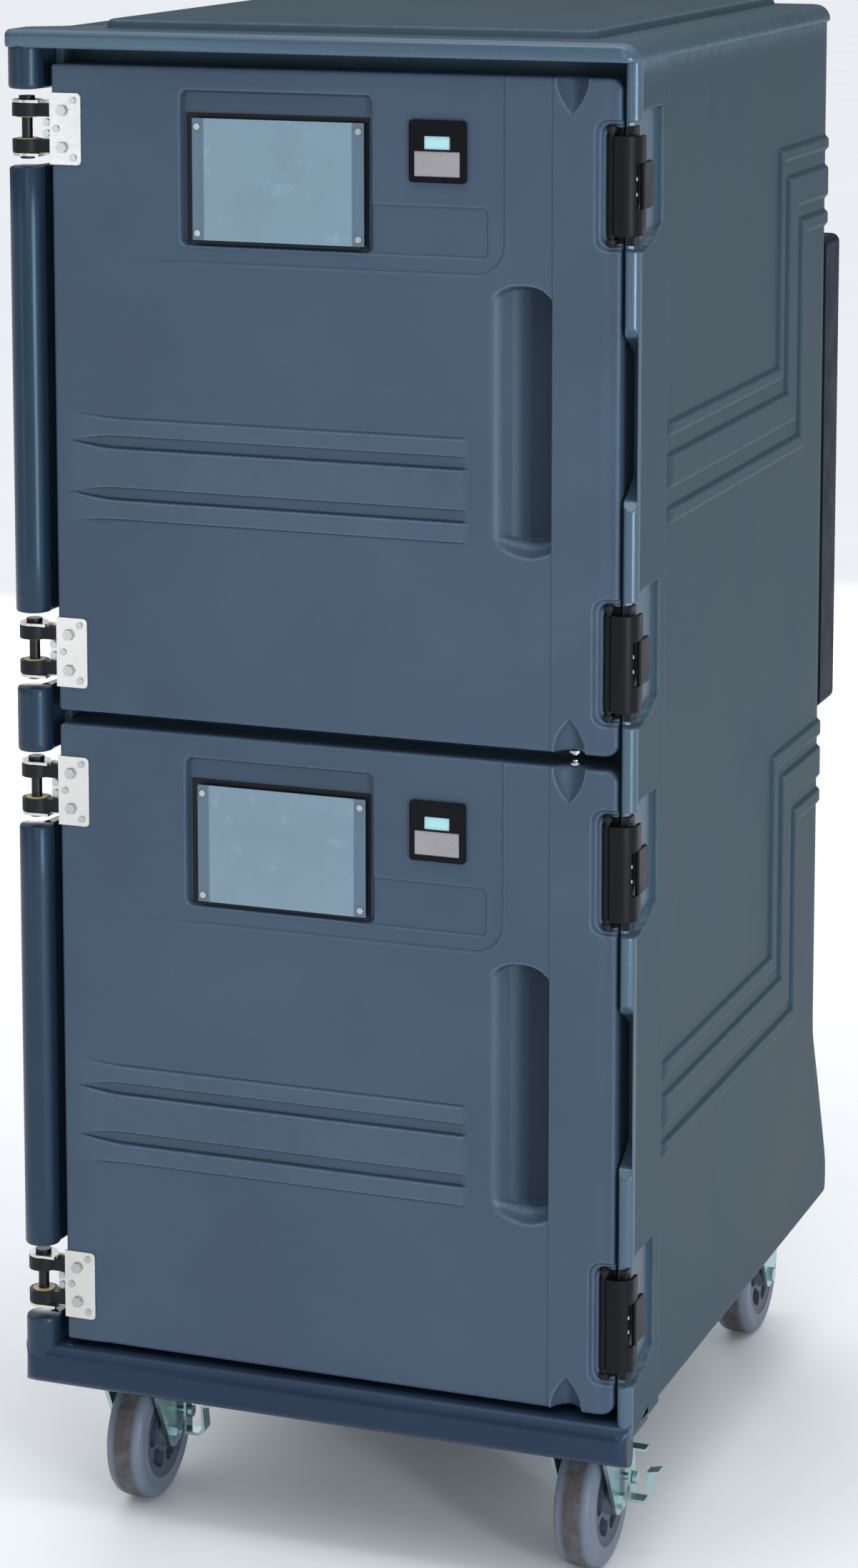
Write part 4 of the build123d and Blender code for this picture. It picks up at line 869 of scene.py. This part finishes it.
# ------------------------------------------------------------------ latches
def plate(outer, inner, keep):
    """Closed shell between two equal grids of points; keep[i, j] says which cells are solid."""
    nu, nv = outer.shape[:2]
    V = np.concatenate([outer.reshape(-1, 3), inner.reshape(-1, 3)])
    N = nu * nv
    F = []
    for i in range(nu - 1):
        for j in range(nv - 1):
            if not keep[i, j]:
                continue
            a, b, c, d = i * nv + j, (i + 1) * nv + j, (i + 1) * nv + j + 1, i * nv + j + 1
            F += [(a, b, c, d), (N + d, N + c, N + b, N + a)]
            for p, q, ii, jj in ((a, b, i, j - 1), (b, c, i + 1, j), (c, d, i, j + 1), (d, a, i - 1, j)):
                if not (0 <= ii < nu - 1 and 0 <= jj < nv - 1 and keep[ii, jj]):
                    F.append((q, p, N + p, N + q))
    used = sorted({i for f in F for i in f})
    new = {o: k for k, o in enumerate(used)}
    return V[used], [tuple(new[i] for i in f) for f in F]


def soften(o, width, seg=2, angle=40.0):
    """Bevel on a modelled piece, with flat faces kept flat."""
    b = o.modifiers.new("bevel", "BEVEL")
    b.width = width / 1000.0
    b.segments = seg
    b.limit_method = "ANGLE"
    b.angle_limit = math.radians(angle)
    n = o.modifiers.new("normals", "WEIGHTED_NORMAL")
    n.weight = 90
    return o


def tube_loops(cx, cy, r, z0, z1, ease=1.0, n=28):
    levels = [(ease, z0), (0.0, z0 + ease), (0.0, z1 - ease), (ease, z1)]
    return [np.array([(cx + (r - i) * math.cos(t), cy + (r - i) * math.sin(t), z) for t in np.linspace(0, 2 * math.pi, n + 1)[:-1]]) for i, z in levels]


# section: left wall, small corner, narrow flat front, broad quarter round, flat side
path = [(332.0, 9.5, -1.0, 0.0), (332.0, 5.0, -1.0, 0.0)]
path += [(334.5 - 2.5 * math.cos(t), -0.5 - 2.5 * math.sin(t), -math.cos(t), -math.sin(t)) for t in np.radians((0, 22, 45, 68, 90))]
path += [(337.5, -3.0, 0.0, -1.0)]
path += [(340.8 + 18.0 * math.sin(t), 15.0 - 18.0 * math.cos(t), math.sin(t), -math.cos(t)) for t in np.radians(np.arange(0, 91, 7.5))]
path += [(358.8, 16.0, 1.0, 0.0), (358.8, 26.0, 1.0, 0.0)]
path = np.array(path)
first_open = next(i for i, p in enumerate(path) if p[0] > 340.8 + 18.0 * math.sin(math.radians(48)))
last_open = len(path) - 2
for d, (top, bottom) in (("upper", LATCH_Z[:2]), ("lower", LATCH_Z[2:])):
    for tag, zc in (("top", top), ("bottom", bottom)):
        rows = zc + np.array([-52.0, -38.0, -24.0, 0.0, 24.0, 38.0, 52.0])
        out = np.array([[(x, y, z) for z in rows] for x, y, _, _ in path])
        inn = np.array([[(x - 4.0 * nx, y - 4.0 * ny, z) for z in rows] for x, y, nx, ny in path])
        keep = np.ones((len(path) - 1, len(rows) - 1), bool)
        keep[first_open:last_open, 2:4] = False
        body = Batch().add(*plate(out, inn, keep))
        body.add(*loops_solid(tube_loops(328.0, 6.8, 5.0, zc - 51.0, zc + 51.0)))
        web = [(330.0, 3.0), (336.0, 3.0), (336.0, 9.0), (330.0, 9.0)]
        body.add(*loops_solid([np.array([(x, y, z) for x, y in rounded(web, 0.8, 2)]) for z in (zc - 50.0, zc + 50.0)]))
        # raised finger tab behind the window
        tab = rounded([(15.4, -25.0), (49.0, -25.0), (49.0, 25.0), (15.4, 25.0)], [1.5, 8.0, 8.0, 1.5], 5)
        lv = []
        for k, x in ((1.0, 355.4), (0.0, 356.4), (0.0, 358.4), (0.5, 359.5), (1.6, 360.0)):
            o2 = rounded([(15.4, -25.0), (49.0, -25.0), (49.0, 25.0), (15.4, 25.0)], [2.0, 8.0, 8.0, 2.0], 5, k)
            lv.append(np.array([(x, y, zc + z) for y, z in o2]))
        body.add(*loops_solid(lv))
        o = body.make("latch_%s_%s_cover" % (d, tag), "latch", "latch_%s_%s" % (d, tag), replaces=("%s_latch_%s" % (d, tag),), slot="latch_nylon", wear_and_highlight=False)
        soften(o, 0.9)

# black strike plates in the jamb notches, which also stand as painted shade over the notches above and below each
# latch, with small domed rivets seen through the latch windows
strike, riv = Batch(), Batch()
for zc in LATCH_Z:
    ell = [(343.4, 6.4), (351.4, 6.4), (352.6, 7.6), (352.6, 22.0), (349.6, 22.0), (349.6, 9.0), (343.4, 9.0)]
    strike.add(*loops_solid([np.array([(x, y, z) for x, y in rounded(ell, [0.5, 0.6, 0.6, 0.5, 0.3, 0.3, 0.5], 2, i)]) for i, z in ((0.6, zc - 62.0), (0.0, zc - 61.4), (0.0, zc + 61.4), (0.6, zc + 62.0))]))
    for dz in (-9.0, 7.0):
        lv = []
        for rr, x in ((2.6, 352.0), (2.6, 353.0), (2.1, 353.7), (1.2, 354.1)):
            lv.append(np.array([(x, 12.5 + rr * math.cos(t), zc + dz + rr * math.sin(t)) for t in np.linspace(0, 2 * math.pi, 17)[:-1]]))
        riv.add(*loops_solid(lv))
strike.make("latch_strikes_and_shade", "black", "cabinet", replaces=("latch_keepers",), slot="black_nylon", wear_and_highlight=False)
riv.make("keeper_rivets", "screw", "cabinet", slot="screws", wear_and_highlight=False)

# ------------------------------------------------------------------ tyres
side = [(22.0, 52.0), (22.5, 54.5), (22.5, 58.0), (22.1, 59.0), (22.1, 60.6), (22.5, 61.6), (22.4, 65.0), (21.9, 68.2), (20.6, 71.0), (18.2, 73.2), (15.5, 74.5), (12.5, 75.2), (9.0, 75.7), (5.0, 75.9), (0.0, 76.0)]
prof = side + [(-u, r) for u, r in side[-2::-1]]
for t, x, ds in (("fl", -252.0, 57.0), ("fr", 285.0, 57.0), ("rl", -221.0, 780.0), ("rr", 254.0, 780.0)):
    n = 112
    m = len(prof)
    V = [(x + u, ds + 40.0 + r * math.cos(2 * math.pi * k / n), 76.0 + r * math.sin(2 * math.pi * k / n)) for k in range(n) for u, r in prof]
    F = [(k * m + j, ((k + 1) % n) * m + j, ((k + 1) % n) * m + (j + 1) % m, k * m + (j + 1) % m) for k in range(n) for j in range(m)]
    o = mesh_from("tread_" + t, V, F, "tyre", "wheel_" + t, replaces=("caster_%s_tyre" % t,), slot="tyre_rubber", wear_and_highlight=False)
    a = o.data.attributes.new("tread", "FLOAT", "POINT")
    a.data.foreach_set("value", np.tile([float(sm((15.5 - abs(u)) / 7.0)) for u, r in prof], n).astype(np.float32))


# ------------------------------------------------------------------ CAD pieces: finishes and eased edges
def dress(node, mat, bevel=0.5, seg=2, angle=32.0, slot=None):
    o = NODES[node]
    o.data.materials.clear()
    o.data.materials.append(M[mat])
    o.data.polygons.foreach_set("use_smooth", [True] * len(o.data.polygons))
    w = o.modifiers.new("weld", "WELD")
    w.merge_threshold = 1e-5
    d = o.modifiers.new("flat", "DECIMATE")
    d.decimate_type = "DISSOLVE"
    d.angle_limit = math.radians(1.0)
    if node in HOLED:
        o.modifiers.new("tri", "TRIANGULATE")
    if bevel:
        b = o.modifiers.new("bevel", "BEVEL")
        b.width = bevel / 1000.0
        b.segments = seg
        b.limit_method = "ANGLE"
        b.angle_limit = math.radians(angle)
        b.miter_outer = "MITER_ARC"
        n = o.modifiers.new("normals", "WEIGHTED_NORMAL")
        n.weight = 90
        n.keep_sharp = False
    else:
        e = o.modifiers.new("split", "EDGE_SPLIT")
        e.split_angle = math.radians(30.0)
    return o


HOLED = ("upper_liner", "lower_liner", "heater_housing", "control_panel", "upper_thermometer", "lower_thermometer")
LOOK = {
    "upper_liner": ("liner", 1.2), "lower_liner": ("liner", 1.2), "foam_core": ("foam", 0), "hinge_brackets": ("steel", 0.4),
    "hinge_pins": ("oxide", 0.6), "cabinet_screws": ("screw", 0.3), "heater_housing": ("housing", 0.6),
    "control_panel": ("panel", 0.5), "rocker_switch": ("bezel", 0.5), "heater_core": ("heater", 0.4), "fan_wheel": ("fan", 0),
    "air_ducts": ("steel", 0.4), "caster_plates": ("zinc", 0.7), "caster_bolts": ("screw", 0.4),
}
for d in ("upper", "lower"):
    LOOK.update({
        d + "_door_foam": ("foam", 0), d + "_door_inner": ("liner", 1.0), d + "_door_gasket": ("gasket", 0.8), d + "_hinge_arms": ("nylon", 0.8),
        d + "_hinge_bushes": ("bush", 0.2), d + "_hinge_leaves": ("steel", 0.4), d + "_door_screws": ("screw", 0.5),
        d + "_card_holder": ("black", 0.4), d + "_card_sleeve": ("sleeve", 0.5), d + "_thermometer": ("bezel", 0.8),
        d + "_thermometer_display": ("display_" + d[0], 0.2), d + "_latch_mounts": ("nylon", 0.5),
    })
for t in ("fl", "fr", "rl", "rr"):
    LOOK.update({"caster_%s_fork" % t: ("zinc", 0.8), "caster_%s_hub" % t: ("hub", 0.6)})
for t in ("fl", "fr"):
    LOOK["caster_%s_brake" % t] = ("zinc", 0.5)
for node, (mat, bevel) in LOOK.items():
    if node in NODES:
        dress(node, mat, bevel)

# ------------------------------------------------------------------ floor
bpy.ops.mesh.primitive_plane_add(size=160.0, location=(0.0, 0.0, 0.0))
floor = bpy.context.object
floor.name = "floor"
fm = Mat("floor")
fm.done(fm.mix(fm.ramp(fm.noise(2.0), 0.3, 0.7), (0.93, 0.935, 0.94), (0.955, 0.96, 0.965)), 0.75)
floor.data.materials.append(fm.mat)
floor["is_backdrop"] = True

lo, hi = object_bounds()
